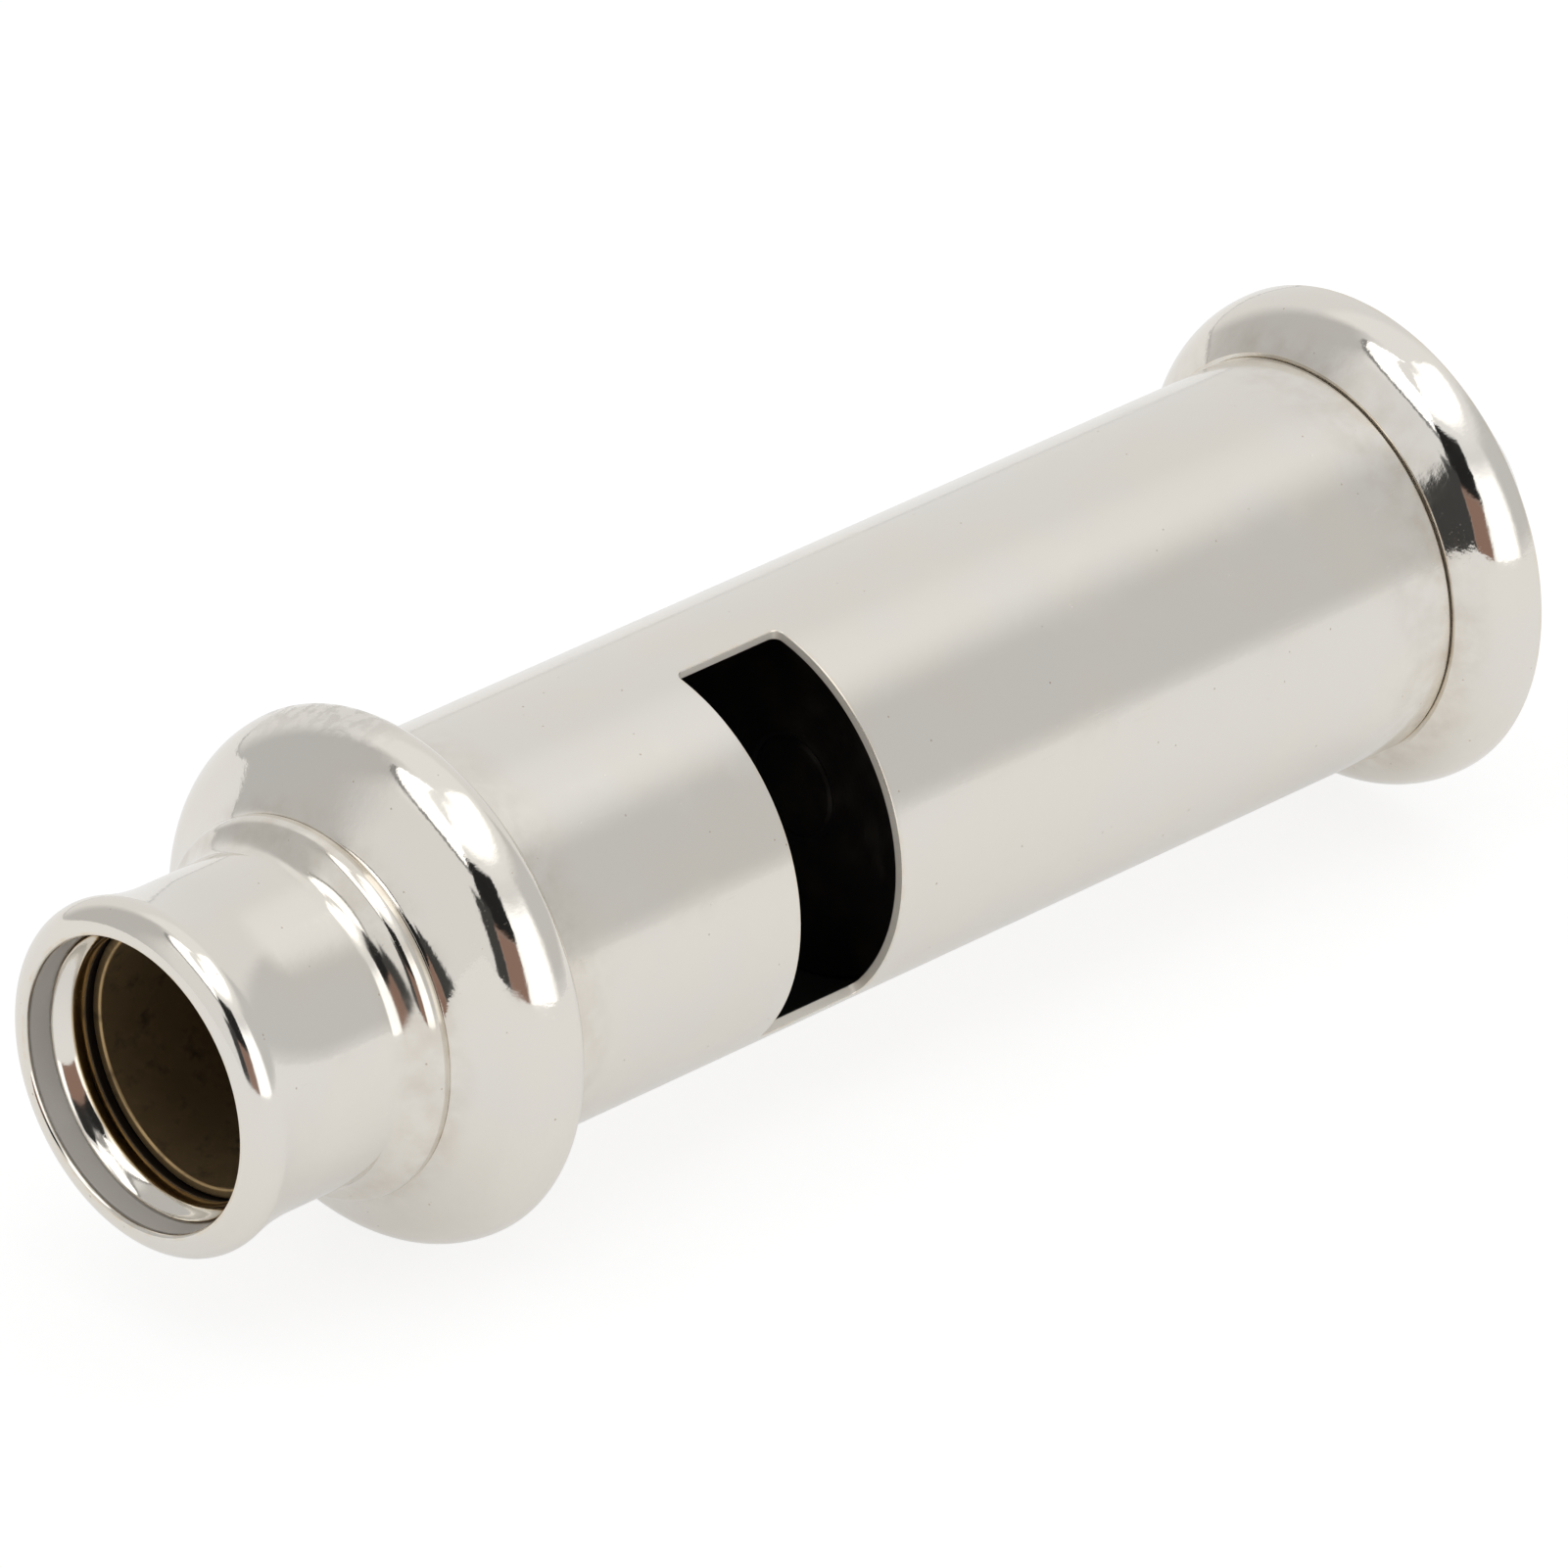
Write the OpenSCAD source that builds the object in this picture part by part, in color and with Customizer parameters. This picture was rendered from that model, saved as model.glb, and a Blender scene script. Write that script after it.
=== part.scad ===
// Ultrasonic whistle: a nickelled brass tube whistle, lying on its collar and its end cap.
// Lengths along the whistle run from the mouth, x = 0, towards the end cap.
// Every turned piece is a profile of [radius, x] points, spun about the whistle's axis.

/* [Body tube] */
// Outside diameter of the body tube
tube_d = 19.0; // [17:0.5:21]
// Wall of the body tube
tube_wall = 0.48; // [0.4:0.02:0.6]
// Length of the body tube from the step inside the collar to its open end
tube_len = 58.3; // [54:0.1:64]

/* [Sound window] */
// Length of tube in front of the window, from the step inside the collar
window_start = 17.95; // [17:0.05:19]
// Length of the window along the tube
window_len = 6.15; // [5:0.05:7]
// How far the window reaches round the tube, in degrees
window_span = 125; // [90:1:140]
// Height of the window's middle above the horizontal, in degrees
window_tilt = 18; // [0:1:40]
// Radius of the window's corners
window_corner_r = 0.45; // [0.2:0.05:0.8]

/* [Mouthpiece] */
// Diameter of the mouthpiece's bore
mouth_bore_d = 12.9; // [11:0.02:15]
// Wall of the mouth tube
mouth_wall = 1.23; // [1:0.01:1.4]
// How far the lip stands out from the mouth tube
lip_stand = 0.53; // [0.4:0.01:0.7]
// Distance from the bore out to the lip's front edge
lip_edge_w = 0.5; // [0.45:0.01:0.6]
// Distance from the front edge to the lip's greatest diameter
lip_face_len = 1.25; // [1.1:0.05:1.4]
// Length over which the lip runs down to the mouth tube
lip_run_len = 3.5; // [3:0.05:4]
// Distance from the bore out to the innermost place of the rim
rim_w = 0.33; // [0.25:0.01:0.4]
// Distance from the front edge to that place
rim_len = 0.3; // [0.2:0.02:0.4]
// Distance from the front edge to where the cup behind the rim starts to narrow
cup_len = 1.35; // [1.2:0.05:1.5]
// Distance from the front edge to the ridge behind the cup
funnel_len = 2.45; // [2.3:0.05:2.7]
// Length over which the ridge runs out to the bore
ridge_len = 0.95; // [0.7:0.05:1.1]
// Height of that ridge above the bore
ridge_h = 0.25; // [0.2:0.01:0.35]
// How far the shoulder, where the mouthpiece meets the collar, stands out from the mouth tube
shoulder_stand = 1.13; // [1:0.01:1.3]
// Distance from the front edge to the top of the shoulder
shoulder_x = 10.14; // [10:0.02:10.4]
// Radius of the shoulder's rounding
shoulder_r = 0.8; // [0.6:0.05:0.9]
// Length of the hollow curve in front of the shoulder
shoulder_fillet_len = 1.2; // [1:0.05:1.5]
// Length of the spigot that goes into the body tube
spigot_len = 4.4; // [3.5:0.1:6]

/* [Mouth liner] */
// Wall of the liner, which narrows the bore where the breath goes in
liner_wall = 0.51; // [0.4:0.01:0.7]
// Gap between the funnel's ridge and the front of the liner
liner_setback = 0.15; // [0.1:0.05:0.4]

/* [Collar] */
// How far the collar stands out from the body tube
collar_stand = 2.78; // [2.3:0.02:3.4]
// Distance from the shoulder's top to the collar's greatest diameter
collar_crest_len = 4.51; // [4.4:0.01:5]
// Radius of the collar's rounding on the mouth side
collar_front_r = 3.0; // [2.7:0.02:3.2]
// Radius of the collar's rounding on the window side
collar_back_r = 1.0; // [0.8:0.02:1.2]
// Distance from the step that the tube butts against to the collar's greatest diameter
tube_step_len = 1.94; // [1.8:0.02:2.1]
// Thickness of the collar behind its greatest diameter
collar_back_len = 1.35; // [1.25:0.01:1.6]
// Leg of the solder fillet behind the collar
solder_leg = 0.35; // [0.2:0.05:0.5]

/* [Wind plug] */
// Thickness of the plug in front of the window
plug_len = 4.0; // [3:0.1:5]
// Height of the slit that lets the breath past the plug
windway_h = 0.55; // [0.4:0.05:0.8]
// How much narrower the slit is than the window at each end, in degrees
windway_margin = 4; // [2:1:8]

/* [Piston] */
// Depth of the sounding chamber beyond the window when the cap is screwed home
chamber_len = 2.5; // [1.5:0.1:4]
// Thickness of the piston's hard face
face_len = 2.2; // [1.8:0.1:3]
// Thickness of the leather packing
packing_len = 2.6; // [1.6:0.1:3]
// Thickness of the swivel plate behind the packing
swivel_len = 1.6; // [1.2:0.1:2.2]
// Diameter of the piston's boss, which carries the packing
boss_d = 8.0; // [7:0.2:10]
// Running clearance of the piston in the tube, on the radius
piston_gap = 0.08; // [0.05:0.01:0.1]

/* [Tuning screw] */
// Outside diameter of the screw's thread
screw_d = 3.6; // [3:0.1:4]
// Advance of the screw in one turn
screw_pitch = 0.75; // [0.5:0.05:1]
// Turns from screwed home to the stop
screw_turns = 4; // [2:0.5:4]
// Depth of the thread
thread_h = 0.3; // [0.2:0.05:0.4]
// Diameter of the button that turns in the piston
button_d = 5.0; // [4.6:0.1:5.6]
// Thickness of that button
button_len = 1.0; // [0.8:0.05:1.2]
// Diameter of the neck behind the button
neck_d = 2.4; // [2:0.1:2.6]
// Length of the threaded bush in the tube
bush_len = 4.0; // [3:0.5:6]
// Outside diameter of the stop collar on the screw
stop_d = 7.0; // [5.5:0.1:8]
// Length of the stop collar
stop_len = 1.6; // [1.2:0.1:2.5]
// Running clearance of the screw in its bush and in the piston, on the radius
screw_gap = 0.06; // [0.04:0.01:0.08]

/* [End cap] */
// How far the cap's ring stands out from the body tube
cap_stand = 2.28; // [2:0.02:2.8]
// How far the ring's front edge stands out from the body tube
cap_front_stand = 0.19; // [0.1:0.01:0.3]
// Gap between the tube and the cap when the cap is screwed home
cap_gap = 0.15; // [0.1:0.05:0.3]
// Distance from the ring's front edge to its greatest diameter
cap_crest_len = 3.11; // [2.9:0.01:3.4]
// Radius of the ring's rounding
cap_round_r = 3.0; // [2.6:0.02:3.1]
// Flat behind the ring's greatest diameter
cap_land_len = 0.35; // [0.25:0.05:0.6]
// Radius of the ring's rear edge
cap_edge_r = 0.2; // [0.1:0.02:0.24]
// Width and depth of the groove between the ring and the dome's foot
cap_groove_w = 0.3; // [0.2:0.05:0.5]
// How much less than the body tube's the dome's radius is
dome_inset = 1.9; // [1.5:0.05:2.5]
// Wall of the dome
dome_wall = 0.55; // [0.45:0.05:0.8]
// Length of sleeve that is still in the tube when the cap is fully unscrewed
sleeve_hold = 1.4; // [1:0.1:2]
// Room between the sleeve and the threaded bush when the cap is screwed home
sleeve_room = 0.6; // [0.4:0.1:1]
// Wall of that sleeve
sleeve_wall = 0.6; // [0.45:0.05:0.8]
// Thickness of the disc that joins the screw to the cap
web_len = 1.4; // [1:0.1:1.6]
// Width across the flats of the nut on the screw
nut_af = 6.0; // [5.5:0.1:7]
// Thickness of that nut
nut_len = 1.8; // [1.5:0.1:2.2]

/* [Hidden] */

// Gap that solder fills between two turned pieces, on the radius
joint_gap = 0.03;
// Where the shoulder's rounding starts and ends, in degrees from its top
fillet_angle = 50;
neck_angle = 30;
// Where the rounding of the collar's back ends, in degrees from the top
collar_back_angle = 80;
// The slope of the collar's hollow foot where it starts, in degrees from the axis
collar_foot_angle = 25;
// Where that hollow foot gives way to the collar's rounding, in degrees from the top
bead_angle = 60;
// Overrun of every cut
cut = 1.0;
// Size of the round corner cutters, as a share of the corner that they cut
corner_share = 0.98;
// Steps of a rounded corner, and facets of a full turn
arc_steps = 8;
curve_steps = 10;
$fn = 96;

// Radii
tube_r = tube_d / 2;
tube_bore_r = tube_r - tube_wall;
mouth_bore_r = mouth_bore_d / 2;
mouth_r = mouth_bore_r + mouth_wall;
lip_r = mouth_r + lip_stand;
lip_edge_r = mouth_bore_r + lip_edge_w;
shoulder_top_r = mouth_r + shoulder_stand;
neck_r = shoulder_top_r - shoulder_r * (1 - cos(neck_angle));
liner_r = mouth_bore_r - joint_gap;
collar_r = tube_r + collar_stand;
screw_r = screw_d / 2;
screw_neck_r = neck_d / 2;
button_r = button_d / 2;
cap_r = tube_r + cap_stand;
dome_r = tube_r - dome_inset;
piston_r = tube_bore_r - piston_gap;
sleeve_r = tube_bore_r - piston_gap;
seat_r = tube_bore_r - joint_gap;

// Places along the whistle
groove_x = shoulder_x + shoulder_r * sin(neck_angle);
collar_crest_x = shoulder_x + collar_crest_len;
collar_back_x = collar_crest_x + collar_back_len;
tube_x = collar_crest_x - tube_step_len;
tube_end_x = tube_x + tube_len;
window_x = tube_x + window_start;
window_end_x = window_x + window_len;
plug_x = window_x - plug_len;
spigot_end_x = tube_x + spigot_len;
ridge_end_x = funnel_len + ridge_len;
liner_x = ridge_end_x + liner_setback;
piston_x = window_end_x + chamber_len;
packing_x = piston_x + face_len;
swivel_x = packing_x + packing_len;
screw_travel = screw_pitch * screw_turns;
sleeve_x = tube_end_x - screw_travel - sleeve_hold;
bush_end_x = sleeve_x - sleeve_room;
bush_x = bush_end_x - bush_len;
// The stop collar still stands off the bush by this much at the end of its travel
stop_gap = cap_gap;
stop_x = bush_x - screw_travel - stop_gap - stop_len;
cap_x = tube_end_x + cap_gap;
cap_crest_x = cap_x + cap_crest_len;
cap_back_x = cap_crest_x + cap_land_len;
// The dome's foot lies level with the ring's back, on the disc, and is as thick as the dome
web_end_x = cap_back_x - dome_wall;
web_x = web_end_x - web_len;
// The button turns in a pocket that ends level with the back of the packing
pocket_len = button_len + 2 * screw_gap;
pocket_r = button_r + screw_gap;
button_x = swivel_x - screw_gap - button_len;
screw_end_x = web_end_x + nut_len + screw_pitch;
whistle_len = cap_back_x + dome_r;

// A rounded corner: points on a circle about c, from angle a0 to a1
function arc(c, r, a0, a1, steps = arc_steps) =
    [for (i = [0 : steps]) let (a = a0 + (a1 - a0) * i / steps) c + r * [cos(a), sin(a)]];

// The angle from the axis of a line that leaves point p and just touches the outside of a circle
function touch_angle(p, c, r) =
    atan2(c[0] - p[0], c[1] - p[1]) + asin(r / norm(c - p));

// A bead: a hollow curve that leaves point p at angle a, then an arc about c up to the bead's top.
// The hollow is quadratic, and its middle point is where its two end slopes meet.
function bead(p, a, c, r) =
    let (q = c + r * [cos(bead_angle), -sin(bead_angle)],
         leave = [sin(a), cos(a)],
         arrive = [sin(bead_angle), cos(bead_angle)],
         m = p + leave * cross(q - p, arrive) / cross(leave, arrive))
    concat(
        [for (i = [0 : curve_steps - 1]) let (u = i / curve_steps)
            pow(1 - u, 2) * p + 2 * u * (1 - u) * m + pow(u, 2) * q],
        arc(c, r, -bead_angle, 0, curve_steps)
    );

// A flare that leaves radius r0 at x0 and reaches r1 at x1 level, from just after its first point
function flare(r0, x0, r1, x1) =
    [for (i = [1 : curve_steps]) let (u = i / curve_steps)
        [r1 + (r0 - r1) * pow(1 - u, 2), x0 + (x1 - x0) * u]];

// The same curve the other way round: level at the start and steep at the end
function sweep_up(r0, x0, r1, x1) =
    [for (i = [0 : curve_steps]) let (u = i / curve_steps)
        [r0 + (r1 - r0) * pow(u, 2), x0 + (x1 - x0) * u]];

// A quarter of a wave that rises from radius r at x1 to height h at x0, inwards
function ridge(r, h, x0, x1) =
    [for (i = [curve_steps : -1 : 0]) let (u = i / curve_steps)
        [r - h * cos(90 * u), x0 + (x1 - x0) * u]];

// Half a wave from radius r0 at x0 to radius r1 at x1, level at both ends, without its first point
function half_wave(r0, x0, r1, x1) =
    [for (i = [1 : curve_steps]) let (u = i / curve_steps)
        [(r0 + r1) / 2 + (r0 - r1) / 2 * cos(180 * u), x0 + (x1 - x0) * u]];

// A quarter of an ellipse that leaves radius r0 at x0 steeply and reaches r1 at x1 level
function quarter(r0, x0, r1, x1) =
    [for (i = [0 : curve_steps]) let (a = 90 * i / curve_steps)
        [r0 + (r1 - r0) * sin(a), x1 - (x1 - x0) * cos(a)]];

// Places a piece that was turned about +Z: the axis goes along +X, above the surface it lies on
module lay_down() {
    translate([-whistle_len / 2, 0, collar_r]) rotate([0, 90, 0]) children();
}

// Spins a profile about the whistle's axis
module turned(points) {
    lay_down() rotate_extrude() polygon(points);
}

// A plain turned ring
module ring(r_out, r_in, x0, x1) {
    turned([[r_in, x0], [r_out, x0], [r_out, x1], [r_in, x1]]);
}

// A wedge round the axis, as wide as span degrees, about the middle of the window
module window_wedge(r, span, x0, x1) {
    lay_down() translate([0, 0, x0]) rotate([0, 0, -90 - window_tilt])
        rotate_extrude(angle = span, start = -span / 2) square([r, x1 - x0]);
}

// A round cutter that points outwards through the tube wall, a degrees from the window's middle.
// It is a hair smaller than the corner, so that it crosses the wedges' faces and doesn't graze them.
module window_corner(a, x) {
    lay_down() translate([0, 0, x]) rotate([0, 0, -90 - window_tilt + a]) rotate([0, 90, 0])
        translate([0, 0, tube_r / 2]) cylinder(r = window_corner_r * corner_share, h = tube_r / 2 + cut);
}

// The window: two wedges that cross, with a round cutter in each corner
module window_cut() {
    corner_angle = window_corner_r / tube_r * 180 / PI;
    window_wedge(tube_r + cut, window_span - 2 * corner_angle, window_x, window_end_x);
    window_wedge(tube_r + cut, window_span, window_x + window_corner_r, window_end_x - window_corner_r);
    for (side = [-1, 1], x = [window_x + window_corner_r, window_end_x - window_corner_r])
        window_corner(side * (window_span / 2 - corner_angle), x);
}

// Mouth tube with its lip, its shoulder and the spigot that carries the body tube
module mouthpiece_shell() {
    rim_r = mouth_bore_r + rim_w;
    rim = quarter(lip_edge_r, 0, rim_r, rim_len);
    fillet_end_x = shoulder_x - shoulder_r * sin(fillet_angle);
    fillet_end_r = shoulder_top_r - shoulder_r * (1 - cos(fillet_angle));
    color([0.80, 0.78, 0.74]) turned(concat(
        [[mouth_bore_r, spigot_end_x]],
        ridge(mouth_bore_r, ridge_h, funnel_len, ridge_end_x),
        half_wave(mouth_bore_r - ridge_h, funnel_len, rim_r, cup_len),
        [for (i = [curve_steps : -1 : 1]) rim[i]],
        quarter(lip_edge_r, 0, lip_r, lip_face_len),
        flare(lip_r, lip_face_len, mouth_r, lip_face_len + lip_run_len),
        sweep_up(mouth_r, fillet_end_x - shoulder_fillet_len, fillet_end_r, fillet_end_x),
        arc([shoulder_top_r - shoulder_r, shoulder_x], shoulder_r, -fillet_angle, neck_angle),
        [[neck_r, tube_x]],
        [[seat_r, tube_x]],
        [[seat_r, spigot_end_x]]
    ));
}

// Thin inner sleeve that narrows the mouth, with its front edge just behind the ridge
module mouth_liner() {
    color([0.42, 0.31, 0.18]) ring(liner_r, liner_r - liner_wall, liner_x, spigot_end_x);
}

// Turned collar that covers the joint between mouthpiece and tube
module collar() {
    round_c = [collar_r - collar_front_r, collar_crest_x];
    back_c = [collar_r - collar_back_r, collar_crest_x];
    color([0.82, 0.79, 0.74]) turned(concat(
        [[tube_r + joint_gap, tube_x]],
        [[neck_r + joint_gap, tube_x]],
        bead([neck_r + joint_gap, groove_x], collar_foot_angle, round_c, collar_front_r),
        arc(back_c, collar_back_r, 0, collar_back_angle),
        [[tube_r + solder_leg, collar_back_x]],
        [[tube_r + joint_gap, collar_back_x]]
    ));
}

// Solder fillet in the corner behind the collar
module collar_solder_ring() {
    color([0.62, 0.55, 0.45]) turned([
        [tube_r, collar_back_x],
        [tube_r + solder_leg, collar_back_x],
        [tube_r + solder_leg / 3, collar_back_x + solder_leg / 3],
        [tube_r, collar_back_x + solder_leg]
    ]);
}

// Body tube with the sound window cut through its wall
module body_tube() {
    color([0.78, 0.76, 0.72]) difference() {
        ring(tube_r, tube_bore_r, tube_x, tube_end_x);
        window_cut();
    }
}

// Plug level with the window's front edge, with a thin slit under the window for the breath
module wind_plug() {
    floor_r = seat_r - windway_h;
    color([0.70, 0.56, 0.30]) difference() {
        turned([[0, plug_x], [seat_r, plug_x], [seat_r, window_x], [0, window_x]]);
        difference() {
            window_wedge(tube_r, window_span - 2 * windway_margin, plug_x - cut, window_x + cut);
            turned([
                [0, plug_x - 2 * cut],
                [floor_r, plug_x - 2 * cut],
                [floor_r, window_x + 2 * cut],
                [0, window_x + 2 * cut]
            ]);
        }
    }
}

// Threaded bush that carries the screw, soldered into the tube
module guide_bush() {
    bevel = screw_pitch / 2;
    color([0.71, 0.58, 0.32]) turned([
        [screw_r + screw_gap, bush_x + bevel],
        [screw_r + screw_gap + bevel, bush_x],
        [seat_r, bush_x],
        [seat_r, bush_end_x],
        [screw_r + screw_gap + bevel, bush_end_x],
        [screw_r + screw_gap, bush_end_x - bevel]
    ]);
}

// Hard black face of the piston, with the boss that carries the packing and holds the button
module piston_face() {
    bevel = piston_gap;
    boss_r = boss_d / 2;
    color([0.07, 0.07, 0.07]) turned([
        [0, piston_x],
        [piston_r - bevel, piston_x],
        [piston_r, piston_x + bevel],
        [piston_r, packing_x],
        [boss_r, packing_x],
        [boss_r, swivel_x],
        [pocket_r, swivel_x],
        [pocket_r, swivel_x - pocket_len],
        [0, swivel_x - pocket_len]
    ]);
}

// Leather packing between the face and the swivel plate
module piston_packing() {
    crown = piston_gap / 2;
    color([0.36, 0.22, 0.12]) turned([
        [boss_d / 2, packing_x],
        [piston_r, packing_x],
        [piston_r + crown, packing_x + packing_len / 2],
        [piston_r, swivel_x],
        [boss_d / 2, swivel_x]
    ]);
}

// Plate that closes the pocket behind the button and clamps the packing
module piston_swivel_plate() {
    bevel = swivel_len / 4;
    color([0.72, 0.60, 0.34]) turned([
        [screw_neck_r + screw_gap, swivel_x],
        [piston_r, swivel_x],
        [piston_r, swivel_x + swivel_len - bevel],
        [piston_r - bevel, swivel_x + swivel_len],
        [screw_neck_r + screw_gap, swivel_x + swivel_len]
    ]);
}

// Screw from the piston to the cap: button, neck, stem, thread and the stub that takes the nut
module tuning_screw() {
    root_r = screw_r - thread_h;
    neck_end_x = swivel_x + swivel_len + screw_pitch;
    thread_x = stop_x + stop_len;
    thread_turns = floor((web_x - thread_x) / screw_pitch);
    color([0.66, 0.64, 0.60]) turned(concat(
        [[0, button_x], [button_r, button_x], [button_r, button_x + button_len]],
        [[screw_neck_r, button_x + button_len], [screw_neck_r, neck_end_x]],
        [[root_r, neck_end_x], [root_r, thread_x]],
        [for (i = [0 : thread_turns - 1], u = [0, 1])
            [root_r + thread_h * u, thread_x + (i + 0.25 + u / 2) * screw_pitch]],
        [[root_r, thread_x + thread_turns * screw_pitch], [root_r, screw_end_x - thread_h]],
        [[root_r - thread_h, screw_end_x], [0, screw_end_x]]
    ));
}

// Collar pinned to the screw, which meets the bush when the cap is fully unscrewed
module screw_stop_collar() {
    color([0.70, 0.57, 0.31]) ring(stop_d / 2, screw_r - thread_h + joint_gap, stop_x, stop_x + stop_len);
}

// Sleeve of the cap that slides in the tube's open end
module cap_sleeve() {
    color([0.76, 0.66, 0.45]) ring(sleeve_r, sleeve_r - sleeve_wall, sleeve_x, web_x);
}

// Disc that joins the screw to the cap
module cap_web() {
    color([0.72, 0.59, 0.33]) ring(sleeve_r, screw_r - thread_h + joint_gap, web_x, web_end_x);
}

// Nut that locks the screw to the cap, under the dome
module screw_lock_nut() {
    nut_r = nut_af / 2 / cos(30);
    color([0.74, 0.62, 0.36]) lay_down() translate([0, 0, web_end_x]) difference() {
        cylinder(r = nut_r, h = nut_len, $fn = 6);
        translate([0, 0, -cut]) cylinder(r = screw_r - thread_h + joint_gap, h = nut_len + 2 * cut);
    }
}

// Beaded ring of the cap, the part that the fingers turn
module cap_ring() {
    round_c = [cap_r - cap_round_r, cap_crest_x];
    front = [tube_r + cap_front_stand, cap_x];
    slope = touch_angle(front, round_c, cap_round_r);
    bore_r = sleeve_r + joint_gap;
    color([0.82, 0.79, 0.74]) turned(concat(
        [[bore_r, cap_x], front],
        arc(round_c, cap_round_r, -slope, 0),
        arc([cap_r - cap_edge_r, cap_back_x - cap_edge_r], cap_edge_r, 0, 90),
        [[bore_r + cap_groove_w, cap_back_x], [bore_r, cap_back_x - cap_groove_w]]
    ));
}

// Domed end of the cap: a shell over the nut, with a flat foot that fills the back of the ring
module cap_dome() {
    inner_r = dome_r - dome_wall;
    dome_steps = 2 * arc_steps;
    color([0.81, 0.79, 0.75]) turned(concat(
        [[sleeve_r, web_end_x], [sleeve_r, cap_back_x]],
        arc([0, cap_back_x], dome_r, 0, 90, dome_steps),
        arc([0, cap_back_x], inner_r, 90, 0, dome_steps),
        [[inner_r, web_end_x]]
    ));
}

mouthpiece_shell();
mouth_liner();
collar();
collar_solder_ring();
body_tube();
wind_plug();
guide_bush();
piston_face();
piston_packing();
piston_swivel_plate();
tuning_screw();
screw_stop_collar();
cap_sleeve();
cap_web();
screw_lock_nut();
cap_ring();
cap_dome();
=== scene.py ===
# %% [markdown]
# A whistle of nickelled brass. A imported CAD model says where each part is, and this notebook
# dresses it: every part gets a fine surface worked out with numpy and a finish made of shader
# nodes. The CAD parts come in first, as the frame that all the pieces are fitted to.

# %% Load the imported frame
import math

import bmesh
import bpy
import numpy as np
from mathutils import Matrix, Vector


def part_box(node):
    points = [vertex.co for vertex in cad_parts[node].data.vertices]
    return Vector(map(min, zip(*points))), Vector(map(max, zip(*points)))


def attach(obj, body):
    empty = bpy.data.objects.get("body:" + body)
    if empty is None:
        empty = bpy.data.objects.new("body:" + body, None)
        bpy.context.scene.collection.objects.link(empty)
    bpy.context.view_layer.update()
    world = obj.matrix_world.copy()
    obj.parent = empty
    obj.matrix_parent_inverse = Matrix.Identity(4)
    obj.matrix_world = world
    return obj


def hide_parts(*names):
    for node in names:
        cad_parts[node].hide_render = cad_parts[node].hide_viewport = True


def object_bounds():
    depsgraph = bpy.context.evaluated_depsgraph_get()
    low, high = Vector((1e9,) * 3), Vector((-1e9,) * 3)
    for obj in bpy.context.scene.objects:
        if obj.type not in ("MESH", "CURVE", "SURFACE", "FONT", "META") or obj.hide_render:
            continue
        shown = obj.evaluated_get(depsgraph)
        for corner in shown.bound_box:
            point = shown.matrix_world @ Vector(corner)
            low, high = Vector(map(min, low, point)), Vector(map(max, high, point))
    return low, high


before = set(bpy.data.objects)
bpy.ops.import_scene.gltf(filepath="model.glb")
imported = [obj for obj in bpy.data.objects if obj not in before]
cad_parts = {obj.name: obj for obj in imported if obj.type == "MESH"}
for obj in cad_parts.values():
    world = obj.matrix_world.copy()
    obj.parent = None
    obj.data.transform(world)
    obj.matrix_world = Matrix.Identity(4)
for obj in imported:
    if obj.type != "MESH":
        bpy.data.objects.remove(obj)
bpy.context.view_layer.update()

# %% [markdown]
# Nearly every part was turned on a lathe, so three numbers place a point on it: the distance x
# from the mouth, the radius r and the angle round the axis. Angles start on the side of the
# sound window and grow upwards. Sizes are in millimetres and become metres in one place.
# The lengths along the axis are read from the CAD boxes, so the pieces follow the frame.

# %% Where a point on the whistle is
MM = 0.001
axis_height = (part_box("collar")[0].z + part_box("collar")[1].z) / 2
mouth_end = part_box("mouthpiece_shell")[0].x


def place(x, r, angle):
    """Metres from x and r in mm and an angle in radians: -Y is at 0 and +Z at 90 degrees."""
    x, r, angle = np.broadcast_arrays(x, r, angle)
    return np.stack([
        mouth_end + x * MM,
        -r * np.cos(angle) * MM,
        axis_height + r * np.sin(angle) * MM,
    ], axis=-1)


def span(node):
    """The first and last x of a CAD node and its greatest radius, in mm."""
    low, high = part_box(node)
    return (low.x - mouth_end) / MM, (high.x - mouth_end) / MM, (high.z - low.z) / 2 / MM


tube_x, tube_end_x, tube_r = span("body_tube")
print(f"tube from {tube_x:.2f} to {tube_end_x:.2f} mm, radius {tube_r:.2f} mm")

# %% [markdown]
# A turned part is a closed outline in x and r, spun round the axis. No real corner is sharp, and a
# sharp one looks wrong in a mirror finish, so each corner of the outline has a small radius. On
# both sides of a rounding the outline gets one point more, a hair away: smooth shading would
# otherwise spread the bend over the flat face beside it.

# %% Round the corners of an outline
HOLD = 0.012


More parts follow.
